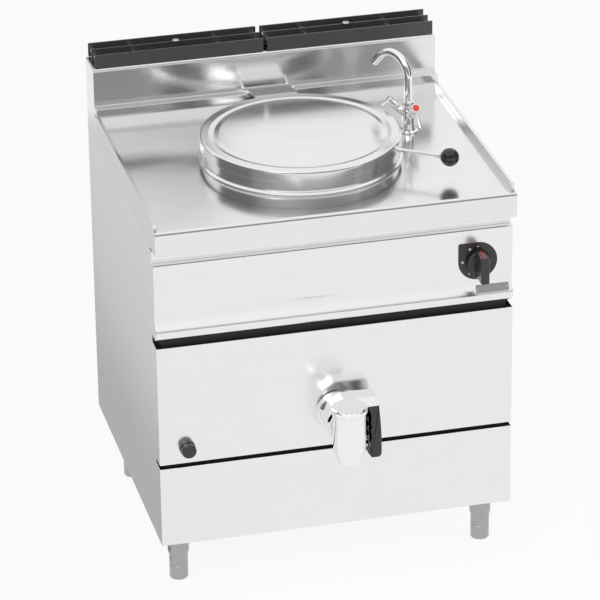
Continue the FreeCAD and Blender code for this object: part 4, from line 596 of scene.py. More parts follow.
class KETTLE_OT_finishes(bpy.types.Operator):
    """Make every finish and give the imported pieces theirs"""

    bl_idname = "kettle.finishes"
    bl_label = "Finishes"

    def execute(self, context):
        look = context.scene.kettle_finishes
        sheet_steel("satin panel steel", look.panel_steel, (4, 900, 900), look.panel_gloss, 0.015)
        sheet_steel("satin side steel", look.panel_steel, (900, 4, 900), look.panel_gloss + 0.02, 0.015)
        sheet_steel("satin turned steel", look.panel_steel, (60, 60, 900), 0.27, 0.03)
        # A darker copy of the turned steel: painted shade for the feet and leg sleeves under the cabinet.
        sheet_steel("shaded foot steel", (0.42, 0.415, 0.42), (60, 60, 900), 0.3, 0.03)
        polished_steel("polished steel", look.bright_steel, look.bright_gloss)
        plated("bright chrome", look.chrome, 0.05)
        plated("cast chrome", look.chrome, 0.1)
        enamelled("grate enamel", look.enamel)
        moulded("black phenolic", look.phenolic, 0.26, 700.0)
        moulded("glossy phenolic", look.phenolic, 0.06, 500.0)
        moulded("black moulding", look.phenolic, 0.38, 1200.0)
        matt_paint("channel black", (0.006, 0.006, 0.007))
        raw_metal("zinc steel", (0.62, 0.62, 0.64), 0.3, 300.0)
        raw_metal("tube steel", (0.5, 0.5, 0.5), 0.34, 200.0)
        raw_metal("turned brass", (0.72, 0.54, 0.24), 0.24, 400.0)
        raw_metal("copper alloy", (0.72, 0.42, 0.28), 0.28, 300.0)
        raw_metal("cast aluminium", (0.58, 0.58, 0.59), 0.42, 900.0)
        raw_metal("bright bolt", (0.7, 0.7, 0.7), 0.22, 500.0)
        mineral_wool("mineral wool", (0.62, 0.58, 0.44))
        printed("white print", (0.85, 0.85, 0.84))
        printed("red print", (0.8, 0.02, 0.015))
        moulded("red index", (0.78, 0.045, 0.012), 0.22, 500.0)
        moulded("blue index", (0.02, 0.1, 0.55), 0.22, 500.0)
        moulded("white index", (0.8, 0.79, 0.77), 0.2, 500.0)
        sheet_steel("plate steel", (0.3, 0.295, 0.29), (900, 900, 6), 0.34, 0.05)
        self.dress_packed()
        return {"FINISHED"}

    def dress_packed(self):
        """Give every CAD node the finish of its kind."""
        finishes = {
            "satin panel steel": ("lower_front_panel", "middle_front_panel", "control_panel", "rear_panel",
                                  "base_tray", "flue_duct", "burner_supports"),
            "satin side steel": ("left_side_panel", "right_side_panel"),
            "satin turned steel": ("kettle", "heating_jacket"),
            "shaded foot steel": ("leg_sleeves", "front_left_foot", "front_right_foot", "rear_left_foot",
                           "rear_right_foot"),
            "polished steel": ("worktop", "flue_housing", "neck_ring", "lid_shell", "lid_hinge_arm",
                               "hinge_bracket", "lid_handle_rod"),
            "bright chrome": ("water_tap_body", "water_spout", "cold_water_handle", "hot_water_handle",
                              "hinge_pin", "drain_tap_cap"),
            "cast chrome": ("drain_tap_body", "drain_lever", "drain_flange", "lever_pin"),
            "grate enamel": ("left_flue_grate", "right_flue_grate"),
            "bright bolt": ("grate_bolts", "gas_spindle"),
            "glossy phenolic": ("lid_knob",),
            "black phenolic": ("gas_knob", "lever_grip"),
            "black moulding": ("igniter_button", "igniter_housing", "knob_scale_plate"),
            "channel black": ("lower_gap_channel", "upper_gap_channel"),
            "zinc steel": ("burner_tubes", "drain_pipe"),
            "tube steel": ("gas_inlet_pipe", "burner_feed_pipe"),
            "turned brass": ("gas_manifold", "water_nut", "drain_plug", "thermocouple", "pilot_burner"),
            "copper alloy": ("water_supply_pipes",),
            "cast aluminium": ("gas_valve",),
            "mineral wool": ("jacket_insulation",),
            "red index": ("hot_water_index",),
            "blue index": ("cold_water_index",),
        }
        for finish, nodes in finishes.items():
            for node in nodes:
                mesh = frame["nodes"][node].data
                mesh.materials.clear()
                mesh.materials.append(bpy.data.materials[finish])


class KETTLE_OT_cabinet(bpy.types.Operator):
    """Break the edges of the folded sheets, the worktop and the flue"""

    bl_idname = "kettle.cabinet"
    bl_label = "Cabinet"

    def execute(self, context):
        edge_break = context.scene.kettle_sizes.edge_break
        for node in ("left_side_panel", "right_side_panel"):
            softened(node, "satin side steel", edge_break)
        for node in ("lower_front_panel", "middle_front_panel", "control_panel", "rear_panel", "base_tray"):
            softened(node, "satin panel steel", edge_break)
        for node in ("lower_gap_channel", "upper_gap_channel"):
            softened(node, "channel black", 0.4)
            self.add_channel_flange(node)
        for node in ("worktop", "flue_housing"):
            softened(node, "polished steel", 0.9, 3)
        for node in ("left_flue_grate", "right_flue_grate"):
            self.add_grate(node)
        self.add_flue_lip()
        self.add_bolts()
        return {"FINISHED"}

    def add_channel_flange(self, node):
        """A flange that runs from a gap channel's foot to the back of the panel before it."""
        low, high = corners_of(node)
        sheet, overhang, overlap, thick = 1.6, 10.3, 1, 1.2
        front = corners_of("middle_front_panel")[0][1] + sheet
        side = high[0] + overhang
        outline = rectangle((-side, front), (side, low[1] + overlap), 0.3, 2)
        flange = slab(outline, (0, 0, low[2]), ACROSS, REARWARD, thick, 0.2)
        add_piece(f"{node}_flange", [flange], "channel black", "cabinet")

    def add_grate(self, node):
        """A grate: three thin plates on edge, two feet across them and four round spacer bars."""
        low, high = corners_of(node)
        thick, foot_half, bar_radius, bar_drop, bar_inset = 3.5, 5, 4.5, 14.5, 8
        seat = low[2] + 6.2
        depth = high[1] - low[1]
        plate = rectangle((low[0], seat), (high[0], high[2]), 1.5, 4)
        parts = [slab(plate, (0, y + thick, 0), ACROSS, UPWARD, thick, 0.6)
                 for y in np.linspace(low[1], high[1] - thick, 3)]
        quarter = (high[0] - low[0]) / 4
        quarters = (low[0] + quarter, high[0] - quarter)
        for x in quarters:
            foot = rectangle((x - foot_half, low[2]), (x + foot_half, seat + 4), 0.5, 2)
            parts.append(slab(foot, (0, high[1] - 0.3, 0), ACROSS, UPWARD, depth - 0.6, 0.4))
        add_piece(f"{node}_plates", parts, "grate enamel", "cabinet", node)
        bar = [(0, 0), (bar_radius, 0), (bar_radius, depth - thick), (0, depth - thick)]
        bars = [lathe(bar, (x, low[1] + thick / 2, high[2] - bar_drop), REARWARD, 32)
                for x in (low[0] + bar_inset, *quarters, high[0] - bar_inset)]
        add_piece(f"{node}_spacers", bars, "bright bolt", "cabinet")

    def add_flue_lip(self):
        """The rounded lip round the flue's mouth: inset = r (1 - cos t), height = r sin t."""
        low, high = corners_of("flue_housing")
        low[1] = corners_of("left_flue_grate")[0][1] - 2
        radius, width = 5.5, 10.5
        turn = np.linspace(0, math.pi / 2, 9)
        inset = np.concatenate([[2], radius * (1 - np.cos(turn)), [width, width]])
        rise = np.concatenate([[0], radius * np.sin(turn), [radius, 0]])
        corners = np.array([low[:2], (high[0], low[1]), high[:2], (low[0], high[1])])
        inward = np.array([(1, 1), (-1, 1), (-1, -1), (1, -1)])
        ends = corners + inset[:, None, None] * inward
        levels = np.broadcast_to((high[2] + rise)[:, None, None], (len(rise), 4, 1))
        lip = surface(np.concatenate([ends, levels], axis=2), wrap_rows=True)
        add_piece("flue_lip", [lip], "polished steel", "cabinet")

    def add_bolts(self):
        """The bolt in the middle of each grate: a round head with a socket in it."""
        low, high = corners_of("grate_bolts")
        radius = (high[1] - low[1]) / 2
        head = [(0, 0), (radius, 0, 0.4), (radius, 2.2, 0.9), (radius - 2, 3, 0.5), (3.4, 3, 0.3),
                (3.4, 1.2, 0.2), (0, 1.2)]
        heads = [lathe(head, (x, (low[1] + high[1]) / 2, low[2]), steps=4)
                 for x in (low[0] + radius, high[0] - radius)]
        add_piece("grate_bolt_heads", heads, "bright bolt", "cabinet", "grate_bolts")


class KETTLE_OT_lid(bpy.types.Operator):
    """The pressed lid, the neck with its weld, the hinge and the ball handle"""

    bl_idname = "kettle.lid"
    bl_label = "Lid And Neck"

    def execute(self, context):
        self.add_shell()
        self.add_neck()
        self.add_handle()
        self.add_hinge()
        return {"FINISHED"}

    def add_shell(self):
        """The lid's section: flat crown, round-bottomed ring groove, rolled edge and plain skirt."""
        low, high = corners_of("lid_shell")
        radius, top, foot, sheet = (high[0] - low[0]) / 2, high[2], low[2], 2
        under = top - sheet
        inner, middle, outer, groove = 180, 191, 202, 2
        crown = [(0, top), (inner, top, 14), (middle, top - groove, 12), (outer, top, 14),
                 (radius, top, 6), (radius, foot, 0.9), (radius - sheet, foot, 0.9),
                 (radius - sheet, under, 4), (outer, under, 13), (middle, under - groove, 12),
                 (inner, under, 13), (0, under)]
        shell = lathe(crown, middle_of("lid_shell") * (1, 1, 0), segments=224, steps=8)
        add_piece("lid_crown", [shell], "polished steel", "lid", "lid_shell", 40)

    def add_neck(self):
        """The neck: a round weld bead at the deck, a rolled upper edge and a flat inner flange."""
        low, high = corners_of("neck_ring")
        foot, top, bead = low[2], high[2], (high[0] - low[0]) / 2
        wall, sheet, flange = bead - 8, 2, 202
        section = [(wall - sheet, foot), (bead, foot, 1.2), (bead - 1.5, foot + 3.2, 2.4),
                   (wall + 1.2, foot + 7.5, 3), (wall, foot + 12), (wall, top, 2.2), (flange, top, 0.5),
                   (flange, top - sheet, 0.5), (wall - sheet, top - sheet, 1.5), (wall - sheet, foot)]
        neck = lathe(section, middle_of("neck_ring") * (1, 1, 0), segments=224)
        add_piece("welded_neck", [neck], "polished steel", "cabinet", "neck_ring", 40)

    def add_handle(self):
        """A ball with a flat seat on a straight rod, with a lock nut behind the ball."""
        low, high = corners_of("lid_knob")
        ball, hub = (low + high) / 2, middle_of("lid_shell")
        radius = (high[2] - low[2]) / 2
        away = (ball - hub) * (1, 1, 0)
        reach = np.linalg.norm(away)
        away /= reach
        start = hub * (1, 1, 0) + ball * UPWARD
        seat_radius, bore = 7.5, 4.6
        angles = np.linspace(0.0, math.pi - math.asin(seat_radius / radius), 48)
        sphere = radius * np.stack([np.sin(angles), np.cos(angles)], axis=1)
        profile = [*sphere, (6.4, 1.0 - radius), (bore, 1.2 - radius), (bore, 6 - radius)]
        add_piece("ball_knob", [lathe(profile, start + away * reach, away)], "glossy phenolic", "lid",
                  "lid_knob", 40)
        skirt, rod, nut, end = 223.6, 4.5, 6.6, reach - radius - 1
        bar = [(0, skirt), (7.5, skirt), (6.2, skirt + 2.4, 2), (rod, skirt + 5.4, 2), (rod, end - 7, 0.3),
               (nut, end - 7, 0.5), (nut, end, 0.5), (rod, end, 0.3), (rod, end + 6), (0, end + 6)]
        add_piece("handle_rod", [lathe(bar, start, away, 48, 4)], "polished steel", "lid", "lid_handle_rod")

    def add_hinge(self):
        """The hinge: arm and bracket with broken edges, and a pin with domed ends."""
        softened("lid_hinge_arm", "polished steel", 0.8, 3)
        softened("hinge_bracket", "polished steel", 0.6)
        low, high = corners_of("hinge_pin")
        half, head, pin = (high[0] - low[0]) / 2, (high[2] - low[2]) / 2, 5
        dome = [(head * 0.7, half, 2), (head, half - 1.4, 1), (head, half - 3, 0.2), (pin, half - 3, 0.2)]
        profile = [(0, -half), *((radius, -place, fillet) for radius, place, fillet in dome),
                   *reversed(dome), (0, half)]
        rod = lathe(profile, (low + high) / 2, ACROSS, 48, 5)
        add_piece("hinge_rod", [rod], "bright chrome", "cabinet", "hinge_pin")


class KETTLE_OT_water_tap(bpy.types.Operator):
    """The swan-neck water tap with its two lever handles"""

    bl_idname = "kettle.water_tap"
    bl_label = "Water Tap"

    def execute(self, context):
        self.foot = np.array([*WATER_TAP_SPOT, corners_of("neck_ring")[0][2]])
        self.valves = self.foot + VALVE_HEIGHT * UPWARD
        self.add_body()
        self.add_swan_neck()
        self.add_handle("cold", unit(COLD_VALVE), np.array(COLD_LEVER), "blue index")
        self.add_handle("hot", unit(HOT_VALVE), np.array(HOT_LEVER), "red index")
        return {"FINISHED"}

    def add_body(self):
        """The column: a stepped foot, a waisted barrel and a gland nut; two valve necks cross it."""
        column = [(0, 0), (22, 0, 0.5), (22, 2.4, 1.2), (16.5, 5, 2), (15, 9, 2), (13.5, 20, 10),
                  (14, 42, 6), (14, 52, 1.5), (12.6, 55, 1), (13, 57, 0.4), (13, 62, 0.4), (10, 64, 1),
                  (6.1, 64, 0.2), (6.1, 50), (0, 50)]
        shank = [(0, -36), (10, -36, 0.6), (10, 1), (0, 1)]
        neck = [(0, 0), (8.4, 0), (8.4, 20, 1), (10, 22.4, 0.6), (10, 29.2, 0.8), (7.6, 31.8, 0.5),
                (3.1, 31.8, 0.2), (3.1, 22), (0, 22)]
        parts = [lathe(column, self.foot), lathe(shank, self.foot, segments=48),
                 lathe(neck, self.valves, COLD_VALVE, 48, 4), lathe(neck, self.valves, HOT_VALVE, 48, 4)]
        add_piece("water_tap_column", parts, "bright chrome", "cabinet", "water_tap_body", 35)

    def add_swan_neck(self):
        """The swan neck: a riser, an arch and a straight end with a rolled lip, and its bore.
        Arch: point = top + r (1 - cos t) * away + r sin t * up."""
        away = np.array([math.cos(SWAN_NECK_TURN), math.sin(SWAN_NECK_TURN), 0])
        side = np.array([-away[1], away[0], 0])
        heights = np.concatenate([[64.3, 71.3, 72.7, 75.3], np.linspace(64.3, 120, 8)[4:]])
        rise = self.foot + UPWARD * heights[:, None]
        sweep = np.linspace(0, ARCH_SWEEP, 56)[:, None]
        arch = (self.foot + 127 * UPWARD + away * ARCH_RADIUS * (1 - np.cos(sweep))
                + UPWARD * ARCH_RADIUS * np.sin(sweep))
        onward = away * math.sin(ARCH_SWEEP) + UPWARD * math.cos(ARCH_SWEEP)
        end = arch[-1] + onward * np.array([3, 8, 14, 19, 21, 22.4, 27, 28.4, 29])[:, None]
        line = np.concatenate([rise, arch, end])
        tube, bore, bored = 9.0, 7.4, 16
        radii = np.full(len(line), tube)
        radii[:3] = (12.2, 12.4, 9.6)
        radii[-4:-1] = (9.6, 9.6, 9.4)
        flow = unit(np.gradient(line, axis=0))
        mesh = carry(np.concatenate([line, line[::-1][:bored]]), circle(48), side,
                     np.concatenate([radii, np.full(bored, bore)]),
                     np.concatenate([flow, flow[::-1][:bored]]))
        add_piece("swan_neck_tube", [mesh], "bright chrome", "swan_neck", "water_spout", 35)

    def add_handle(self, side, away, droop, colour):
        """A handle: a fluted hub, a lever that swells towards its end and a two-colour button."""
        droop = unit(droop - away * (droop @ away))
        hub = [(0, 32.5), (8, 32.5, 0.6), (10.5, 36, 1.5), (11, 45, 2), (10.4, 52, 2), (11, 61.4, 0.8),
               (10.4, 62.5, 0.4), (0, 62.5)]
        share = np.linspace(0, 1, 24)[:, None]
        lever_height, inner_end, length, bow = 53.5, 4, 43, 1.8
        path = (self.valves + away * (lever_height + bow * np.sin(share * math.pi))
                + droop * (inner_end + length * share))
        swell = (2.3 + 0.5 * share + 2.2 * share ** 4)[:, 0]
        swell[-1] *= 0.72
        parts = [lathe(hub, self.valves, away, 64, 4),
                 carry(path, circle(28, 0.7), np.cross(droop, away), swell)]
        body = f"{side}_handle"
        add_piece(f"{side}_lever", parts, "bright chrome", body, f"{side}_water_handle", 35)
        rim = [(0, 62.2), (10, 62.2, 0.3), (10, 63.8, 0.6), (7.7, 64, 0.1), (7.7, 63.2), (0, 63.2)]
        add_piece(f"{side}_index_rim", [lathe(rim, self.valves, away, 64, 4)], "white index", body)
        dot = [(0, 63.0), (7.6, 63.0), (7.6, 63.7, 0.4), (0, 64)]
        add_piece(f"{side}_index_dot", [lathe(dot, self.valves, away, 48, 4)], colour, body,
                  f"{side}_water_index")


class KETTLE_OT_controls(bpy.types.Operator):
    """The gas knob, its scale plate, the bare plate and the igniter"""

    bl_idname = "kettle.controls"
    bl_label = "Controls"

    def execute(self, context):
        sizes = context.scene.kettle_sizes
        low, high = corners_of("knob_scale_plate")
        hub = np.array([(low[0] + high[0]) / 2, high[1], (low[2] + high[2]) / 2])
        self.add_scale_plate(hub, high[1] - low[1], (high[0] - low[0]) / 2, sizes.mark_radius)
        self.add_knob(hub * (1, 0, 1))
        self.add_bare_plate(sizes.plate_width, sizes.plate_height)
        self.add_igniter()
        return {"FINISHED"}

    def add_scale_plate(self, hub, thick, radius, dot):
        """A round plate with one square corner, and a ring of printed marks."""
        angles = np.linspace(math.pi, math.pi * 2.5, 72)
        arc = radius * np.stack([np.cos(angles), np.sin(angles)], axis=1)
        corner = arc_at(np.array([0, radius]), np.array([-radius, radius]), np.array([-radius, 0]), 5.0, 8)
        plate = slab(np.concatenate([arc, corner]), hub, ACROSS, UPWARD, thick, 0.7)
        add_piece("scale_plate", [plate], "black moulding", "cabinet", "knob_scale_plate")
        marks = []
        below, above, marks_radius = -0.05, 0.12, 35
        for degrees, share, open_share in ((90, 0.9, 0), (122, 1.6, 0.45), (180, 1.6, 0.45), (236, 0.9, 0)):
            angle, size = math.radians(degrees), dot * share
            spot = hub + np.array([marks_radius * math.cos(angle), -thick, marks_radius * math.sin(angle)])
            bore = size * open_share
            profile = [(bore, below), (size, below), (size, above), (bore, above)]
            marks.append(lathe(profile + profile[:1] if bore else profile, spot, FORWARD, 24))
        add_piece("scale_marks", marks, "white print", "cabinet")

    def add_knob(self, axis):
        """The knob: a skirt with a lip and a deep grip bar, whose upper end carries a red line."""
        low, high = corners_of("gas_knob")
        rear, depth, bore, half_wide, half_tall = high[1], high[1] - low[1], 4.1, 9.5, 31
        skirt = [(bore, 0), (27, 0, 0.6), (27, 2.5, 0.8), (25.5, 8.2, 2.5), (12, 9.5, 1), (12, 10),
                 (bore, 10), (bore, 0)]
        bar = rectangle((-half_wide, -half_tall), (half_wide, half_tall), 4, 6)
        parts = [lathe(skirt, axis + (0, rear, 0), FORWARD, 96, 5),
                 slab(bar, axis + (0, rear - 6, 0), ACROSS, UPWARD, depth - 6, 2.2, 5, (bore, 9.5))]
        add_piece("knob_moulding", parts, "black phenolic", "knob", "gas_knob", 38)
        line = rectangle((-1.2, 10), (1.2, depth - 2.3), 0.4, 3)
        pointer = slab(line, axis + (0, rear, half_tall - 0.02), (-1, 0, 0), FORWARD, 0.1, 0.02, 1)
        add_piece("knob_pointer", [pointer], "red print", "knob")

    def add_bare_plate(self, wide, tall):
        """A bare plate below the knob, with a rivet at each end."""
        front = corners_of("control_panel")[0][1]
        spot = np.array([PLATE_SPOT[0], front + PLATE_SPOT[1], PLATE_SPOT[2]])
        outline = rectangle((-wide / 2, -tall / 2), (wide / 2, tall / 2), 1.5, 5)
        add_piece("bare_plate", [slab(outline, spot, ACROSS, PLATE_LEAN, 1.6, 0.4)], "plate steel", "cabinet")
        rivet = [(0, 1.3), (1.4, 1.3), (1.4, 1.9, 0.4), (0, 2.2)]
        heads = [lathe(rivet, spot + (offset, 0, 0), np.cross(ACROSS, PLATE_LEAN), 24, 4)
                 for offset in (4 - wide / 2, wide / 2 - 4)]
        add_piece("plate_rivets", heads, "bright bolt", "cabinet")

    def add_igniter(self):
        """The igniter: a short collar and a round button with a turned ring."""
        panel = corners_of("middle_front_panel")[0][1]
        axis = middle_of("igniter_housing") * (1, 0, 1) + (0, panel, 0)
        reach = panel - corners_of("igniter_button")[0][1]
        collar = [(11, -44), (11, 0), (17.8, 0, 0.6), (17.8, 5, 1), (17.5, 8.2, 0.8), (17.2, 9, 0.3),
                  (16.8, 8.8, 0.2), (16.8, 1, 0.2), (3.2, 1, 0.1), (3.2, -40), (11, -44)]
        add_piece("igniter_collar", [lathe(collar, axis, FORWARD, 72, 5)], "black moulding", "cabinet",
                  "igniter_housing", 35)
        button = [(0, -33), (3, -33), (3, 7.4, 0.2), (16.4, 7.4, 0.4), (16.4, 11.6, 0.5), (15.8, 12.4, 0.4),
                  (15.8, 13.4, 0.4), (16.4, 14.2, 0.5), (16.4, reach - 2.6, 2.2), (14, reach, 1.5),
                  (12.6, reach - 0.6, 0.6), (0, reach - 0.6)]
        add_piece("igniter_cap", [lathe(button, axis, FORWARD, 72, 5)], "black phenolic", "igniter",
                  "igniter_button", 35)


class KETTLE_OT_drain_tap(bpy.types.Operator):
    """The drain tap: cast body, domed cap, ring lever and finger grip"""

    bl_idname = "kettle.drain_tap"
    bl_label = "Drain Tap"

    def execute(self, context):
        low, high = corners_of("drain_tap_cap")
        self.seat, self.top = low[2], high[2]
        self.spout = np.array([0, corners_of("drain_tap_body")[0][1] + DRAIN_SPOUT_RADIUS, 0])
        self.axis = middle_of("drain_flange")[2] * UPWARD
        self.add_flange()
        self.add_body()
        self.add_cap()
        self.add_lever()
        self.add_grip(context.scene.kettle_sizes.cast_edge)
        return {"FINISHED"}

    def add_flange(self):
        """The flange on the panel: a round rim, a step and a hub."""
        low, high = corners_of("drain_flange")
        deep, bore = high[1] - low[1], 24
        section = [(bore, 0), (45, 0, 0.4), (45, 9, 2.4), (42.5, 12, 1), (38.5, 12.4, 0.8), (37, 14, 0.6),
                   (37, deep - 1.6, 1), (35, deep, 0.8), (bore, deep), (bore, 0)]
        flange = lathe(section, self.axis + (0, high[1], 0), FORWARD, 128, 5)
        add_piece("drain_flange_ring", [flange], "cast chrome", "cabinet", "drain_flange")

    def add_body(self):
        """The casting: a round spout whose foot narrows to the mouth, and a lying barrel."""
        mouth, radius = corners_of("drain_tap_body")[0][2], DRAIN_SPOUT_RADIUS
        spout = [(0, mouth + 40), (19, mouth + 40, 0.5), (19, mouth, 1), (24.5, mouth, 1.2),
                 (radius, mouth + 31, 5), (radius, self.seat), (0, self.seat)]
        barrel = [(0, 20), (29, 20), (29, 44, 1), (28, 46, 1), (28, 74, 1), (29, 76, 1),
                  (29, 82.8, 1.5), (24, 82.8), (24, 72), (21.05, 72), (21.05, 60), (0, 60)]
        parts = [lathe(spout, self.spout, segments=128, steps=7),
                 lathe(barrel, self.spout + self.axis, REARWARD, 96, 4)]
        add_piece("drain_casting", parts, "bright chrome", "cabinet", "drain_tap_body", 30)

    def add_cap(self):
        """The cap: a round rim with a soft upper edge round a very shallow dome."""
        rise = self.top - self.seat
        section = [(0, 0), (36.6, 0, 0.3), (40, 4, 1.6), (40, rise - 3.4, 3.2), (36.4, rise - 0.9, 1.6),
                   (20, rise - 0.3, 40), (0, rise)]
        cap = lathe(section, self.spout + self.seat * UPWARD, segments=128, steps=8)
        add_piece("drain_cap", [cap], "bright chrome", "cabinet", "drain_tap_cap", 38)

    def add_lever(self):
        """The lever: a ring on the barrel whose flat top runs out into the arm, and a screw."""
        thick = 38
        start = self.axis + (0, corners_of("drain_lever")[1][1], 0)
        ring = [(29.3, 0), (42, 0, 1.6), (42, thick, 1.6), (29.3, thick, 0.6), (29.3, 0)]
        arm = rounded([(-2, 60, 5), (-29, 42, 10), (-41.2, 8, 2), (-31.5, 8, 1), (-24, 24, 3), (0, 34, 6),
                       (78, 34, 2.5), (78, 46, 3), (72.5, 60, 4)], 7, closed=True)
        head = [(0, thick - 0.4), (4.5, thick - 0.4), (4.5, thick + 1.8, 0.9), (1.8, thick + 2.8, 0.5),
                (1.6, thick + 1.4, 0.2), (0, thick + 1.4)]
        parts = [lathe(ring, start, FORWARD, 128, 5),
                 slab(arm, start, ACROSS, UPWARD, thick, 1.6, 5),
                 lathe(head, start + (66.5, 0, 47), FORWARD, 32, 4)]
        add_piece("lever_casting", parts, "cast chrome", "drain_handle", "drain_lever", 34)

    def add_grip(self, edge):
        """The grip: x of the inner side = base + depth * |sin(4 pi s)| ^ 0.8; the outer side bows out."""
        low, high = corners_of("lever_grip")
        share = np.linspace(0, 1, 150)
        height = GRIP_TOP + (GRIP_FOOT - GRIP_TOP) * share
        finger = np.clip((share - 0.1) / 0.78, 0, 1) * 4
        hollow = 5.2 * np.abs(np.sin(math.pi * finger)) ** 0.8
        inner = 53.2 + 1.5 * np.sin(math.pi * share) + hollow + 9 * np.clip((share - 0.9) / 0.1, 0, 1)
        outer = (78.6 + 5.9 * np.sin(np.clip(share / 0.72, 0, 1) * math.pi / 2)
                 - 6 * np.clip((share - 0.93) / 0.07, 0, 1) ** 2)
        outline = np.concatenate([np.stack([inner, height], axis=1),
                                  np.stack([outer, height], axis=1)[::-1]])
        grip = slab(outline, (0, high[1], 0), ACROSS, UPWARD, high[1] - low[1], edge, 6)
        add_piece("finger_grip", [grip], "black phenolic", "drain_handle", "lever_grip", 40)


class KETTLE_OT_feet(bpy.types.Operator):
    """The leg sleeves and the levelling feet"""

    bl_idname = "kettle.feet"
    bl_label = "Feet"

    def execute(self, context):
        low, high = corners_of("leg_sleeves")
        foot, top = low[2], high[2]
        sleeve = [(16.1, foot), (21.5, foot, 0.5), (24, foot + 12, 3), (24, top - 5, 1.5),
                  (36, top - 5, 0.6), (36, top, 0.3), (16.1, top), (16.1, foot)]
        sleeves = []
        for place in ("front_left", "front_right", "rear_left", "rear_right"):
            name = f"{place}_levelling_foot"
            centre = middle_of(f"{place}_foot") * (1, 1, 0)
            stud = corners_of(f"{place}_foot")[1][2]
            profile = [(0, 0), (19, 0, 0.8), (21, 2.4, 1.4), (21, 34, 0.3), (20.5, 34.6, 0.2),
                       (20.5, 35.6, 0.2), (21, 36.2, 0.3), (21, 57.7, 0.4), (16, 57.7, 0.2),
                       (16, stud, 1), (0, stud)]
            sleeves.append(lathe(sleeve, centre, segments=72, steps=5))
            add_piece(name, [lathe(profile, centre, segments=72, steps=5)], "shaded foot steel",
                      f"{place}_leveller", f"{place}_foot", 34)
        add_piece("turned_sleeves", sleeves, "shaded foot steel", "cabinet", "leg_sleeves", 34)
        return {"FINISHED"}


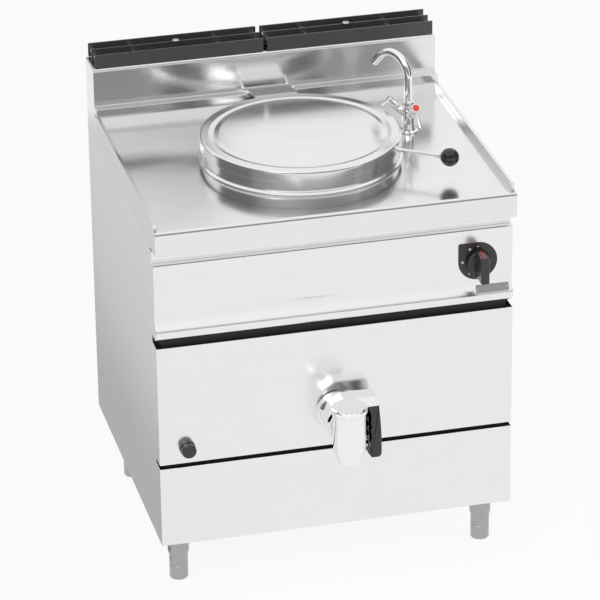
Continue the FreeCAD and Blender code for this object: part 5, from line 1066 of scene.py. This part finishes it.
class KETTLE_OT_studio(bpy.types.Operator):
    """The pale floor, grey cards, soft lights and the camera"""

    bl_idname = "kettle.studio"
    bl_label = "Studio"

    def execute(self, context):
        studio = context.scene.kettle_studio
        self.add_floor()
        for name, (low, high, grey) in CARDS.items():
            self.add_card(name, low, high, grey)
        self.add_world(context.scene, studio.sky)
        self.add_light("front softbox", (-2.6, -4.2, 4.2), (54, 0, -32), 3.6, studio.key_power)
        self.add_light("right softbox", (4.2, -1.6, 2.8), (60, 0, 70), 2.6, studio.fill_power)
        self.add_camera(context.scene, studio)
        context.scene.view_settings.view_transform = "Standard"
        return {"FINISHED"}

    def add_floor(self):
        """A large flat floor with a faint paper tooth. It is lifted towards paper white, more for
        the eye than for polished metal, and keeps the shadow."""
        recipe = Recipe("studio floor")
        lit = recipe.principled({
            "Base Color": recipe.shades(recipe.noise(40.0), (0.93, 0.93, 0.93), 1.0, 0.985),
            "Roughness": 0.85,
            "Specular IOR Level": 0.2,
        })
        seen = recipe.node("ShaderNodeLightPath", output="Is Camera Ray")
        share = (seen * 0.88).greater(seen.beside("Is Glossy Ray") * 0.85)
        glow = recipe.node("ShaderNodeEmission", {}, {"Strength": 1.0})
        recipe.node("ShaderNodeOutputMaterial", {}, {"Surface": recipe.blend(share, lit, glow)})
        half, drop = 14.0 / MM, -0.2
        corners = np.array([[(-half, -half, drop), (-half, half, drop)],
                            [(half, -half, drop), (half, half, drop)]])
        add_staged("studio_floor", surface(corners, wrap_columns=False), recipe.owner)

    def add_card(self, name, low, high, grey):
        """A card of one grey between two opposite corners, standing or lying, for reflections only; the cards
        lying on the floor are painted floor shadow.
        """
        recipe = Recipe(f"{name} paint")
        glow = recipe.node("ShaderNodeEmission", {}, {"Color": (grey, grey, grey, 1)})
        recipe.node("ShaderNodeOutputMaterial", {}, {"Surface": glow})
        if low[2] == high[2]:
            corners = [low, (high[0], low[1], low[2]), high, (low[0], high[1], low[2])]
        else:
            corners = [low, (high[0], high[1], low[2]), high, (low[0], low[1], high[2])]
        mesh = bpy.data.meshes.new(name)
        mesh.from_pydata(corners, [], [(0, 1, 2, 3)])
        card = add_staged(name, mesh, recipe.owner)
        card.visible_camera = False
        card.visible_shadow = False
        card.visible_diffuse = False

    def add_world(self, scene, sky):
        """A white surround for the eye, for gloss and for glass, and a plain level for matt light."""
        recipe = Recipe("white surround", bpy.data.worlds)
        scene.world = recipe.owner
        seen = recipe.node("ShaderNodeLightPath", output="Is Camera Ray")
        share = seen.greater(seen.beside("Is Glossy Ray")).greater(seen.beside("Is Transmission Ray"))
        matt = recipe.node("ShaderNodeBackground", {}, {"Color": WHITE, "Strength": sky})
        plain = recipe.node("ShaderNodeBackground", {}, {"Color": WHITE})
        recipe.node("ShaderNodeOutputWorld", {}, {"Surface": recipe.blend(share, matt, plain)})

    def add_light(self, name, place, turn, size, power):
        """A square soft light, turned by degrees."""
        lamp = bpy.data.lights.new(name, "AREA")
        lamp.size = size
        lamp.energy = power
        light = bpy.data.objects.new(name, lamp)
        light.location = place
        light.rotation_euler = [math.radians(degrees) for degrees in turn]
        bpy.context.scene.collection.objects.link(light)

    def add_camera(self, scene, studio):
        """The camera at the photograph's angle: its axes from azimuth, elevation and roll."""
        azimuth, elevation, roll = studio.azimuth, studio.elevation, studio.roll
        ahead = np.array([-math.sin(azimuth) * math.cos(elevation),
                          math.cos(azimuth) * math.cos(elevation), -math.sin(elevation)])
        right = unit(np.cross(ahead, UPWARD))
        above = np.cross(right, ahead)
        level, tilt = math.cos(roll), math.sin(roll)
        lens = bpy.data.cameras.new("front view")
        lens.lens = studio.lens
        lens.sensor_width = 36
        lens.clip_start = 0.5
        lens.clip_end = 100
        camera = bpy.data.objects.new("front view", lens)
        scene.collection.objects.link(camera)
        matrix = np.eye(4)
        matrix[:3, :3] = np.stack([level * right + tilt * above, level * above - tilt * right, -ahead], axis=1)
        matrix[:3, 3] = CAMERA_SPOT
        camera.matrix_world = Matrix(matrix.tolist())
        scene.camera = camera


class KETTLE_PT_panel(bpy.types.Panel):
    """The kettle's steps in the sidebar"""

    bl_label = "Boiling Kettle"
    bl_idname = "KETTLE_PT_panel"
    bl_space_type = "VIEW_3D"
    bl_region_type = "UI"
    bl_category = "Kettle"

    def draw(self, context):
        for step in STEPS:
            self.layout.operator(step.bl_idname)
        for group in (context.scene.kettle_finishes, context.scene.kettle_sizes, context.scene.kettle_studio):
            box = self.layout.box()
            for name in group.bl_rna.properties.keys():
                if name not in ("rna_type", "name"):
                    box.prop(group, name)


STEPS = (KETTLE_OT_finishes, KETTLE_OT_cabinet, KETTLE_OT_lid, KETTLE_OT_water_tap, KETTLE_OT_controls,
         KETTLE_OT_drain_tap, KETTLE_OT_feet, KETTLE_OT_studio)
CLASSES = (KettleFinishes, KettleSizes, KettleStudio) + STEPS + (KETTLE_PT_panel,)


def register():
    for item in CLASSES:
        bpy.utils.register_class(item)
    bpy.types.Scene.kettle_finishes = bpy.props.PointerProperty(type=KettleFinishes)
    bpy.types.Scene.kettle_sizes = bpy.props.PointerProperty(type=KettleSizes)
    bpy.types.Scene.kettle_studio = bpy.props.PointerProperty(type=KettleStudio)


def unregister():
    del bpy.types.Scene.kettle_finishes
    del bpy.types.Scene.kettle_sizes
    del bpy.types.Scene.kettle_studio
    for item in reversed(CLASSES):
        bpy.utils.unregister_class(item)


def main():
    """Run every step."""
    register()
    bpy.ops.kettle.finishes()
    bpy.ops.kettle.cabinet()
    bpy.ops.kettle.lid()
    bpy.ops.kettle.water_tap()
    bpy.ops.kettle.controls()
    bpy.ops.kettle.drain_tap()
    bpy.ops.kettle.feet()
    bpy.ops.kettle.studio()


if __name__ == "__main__":
    main()
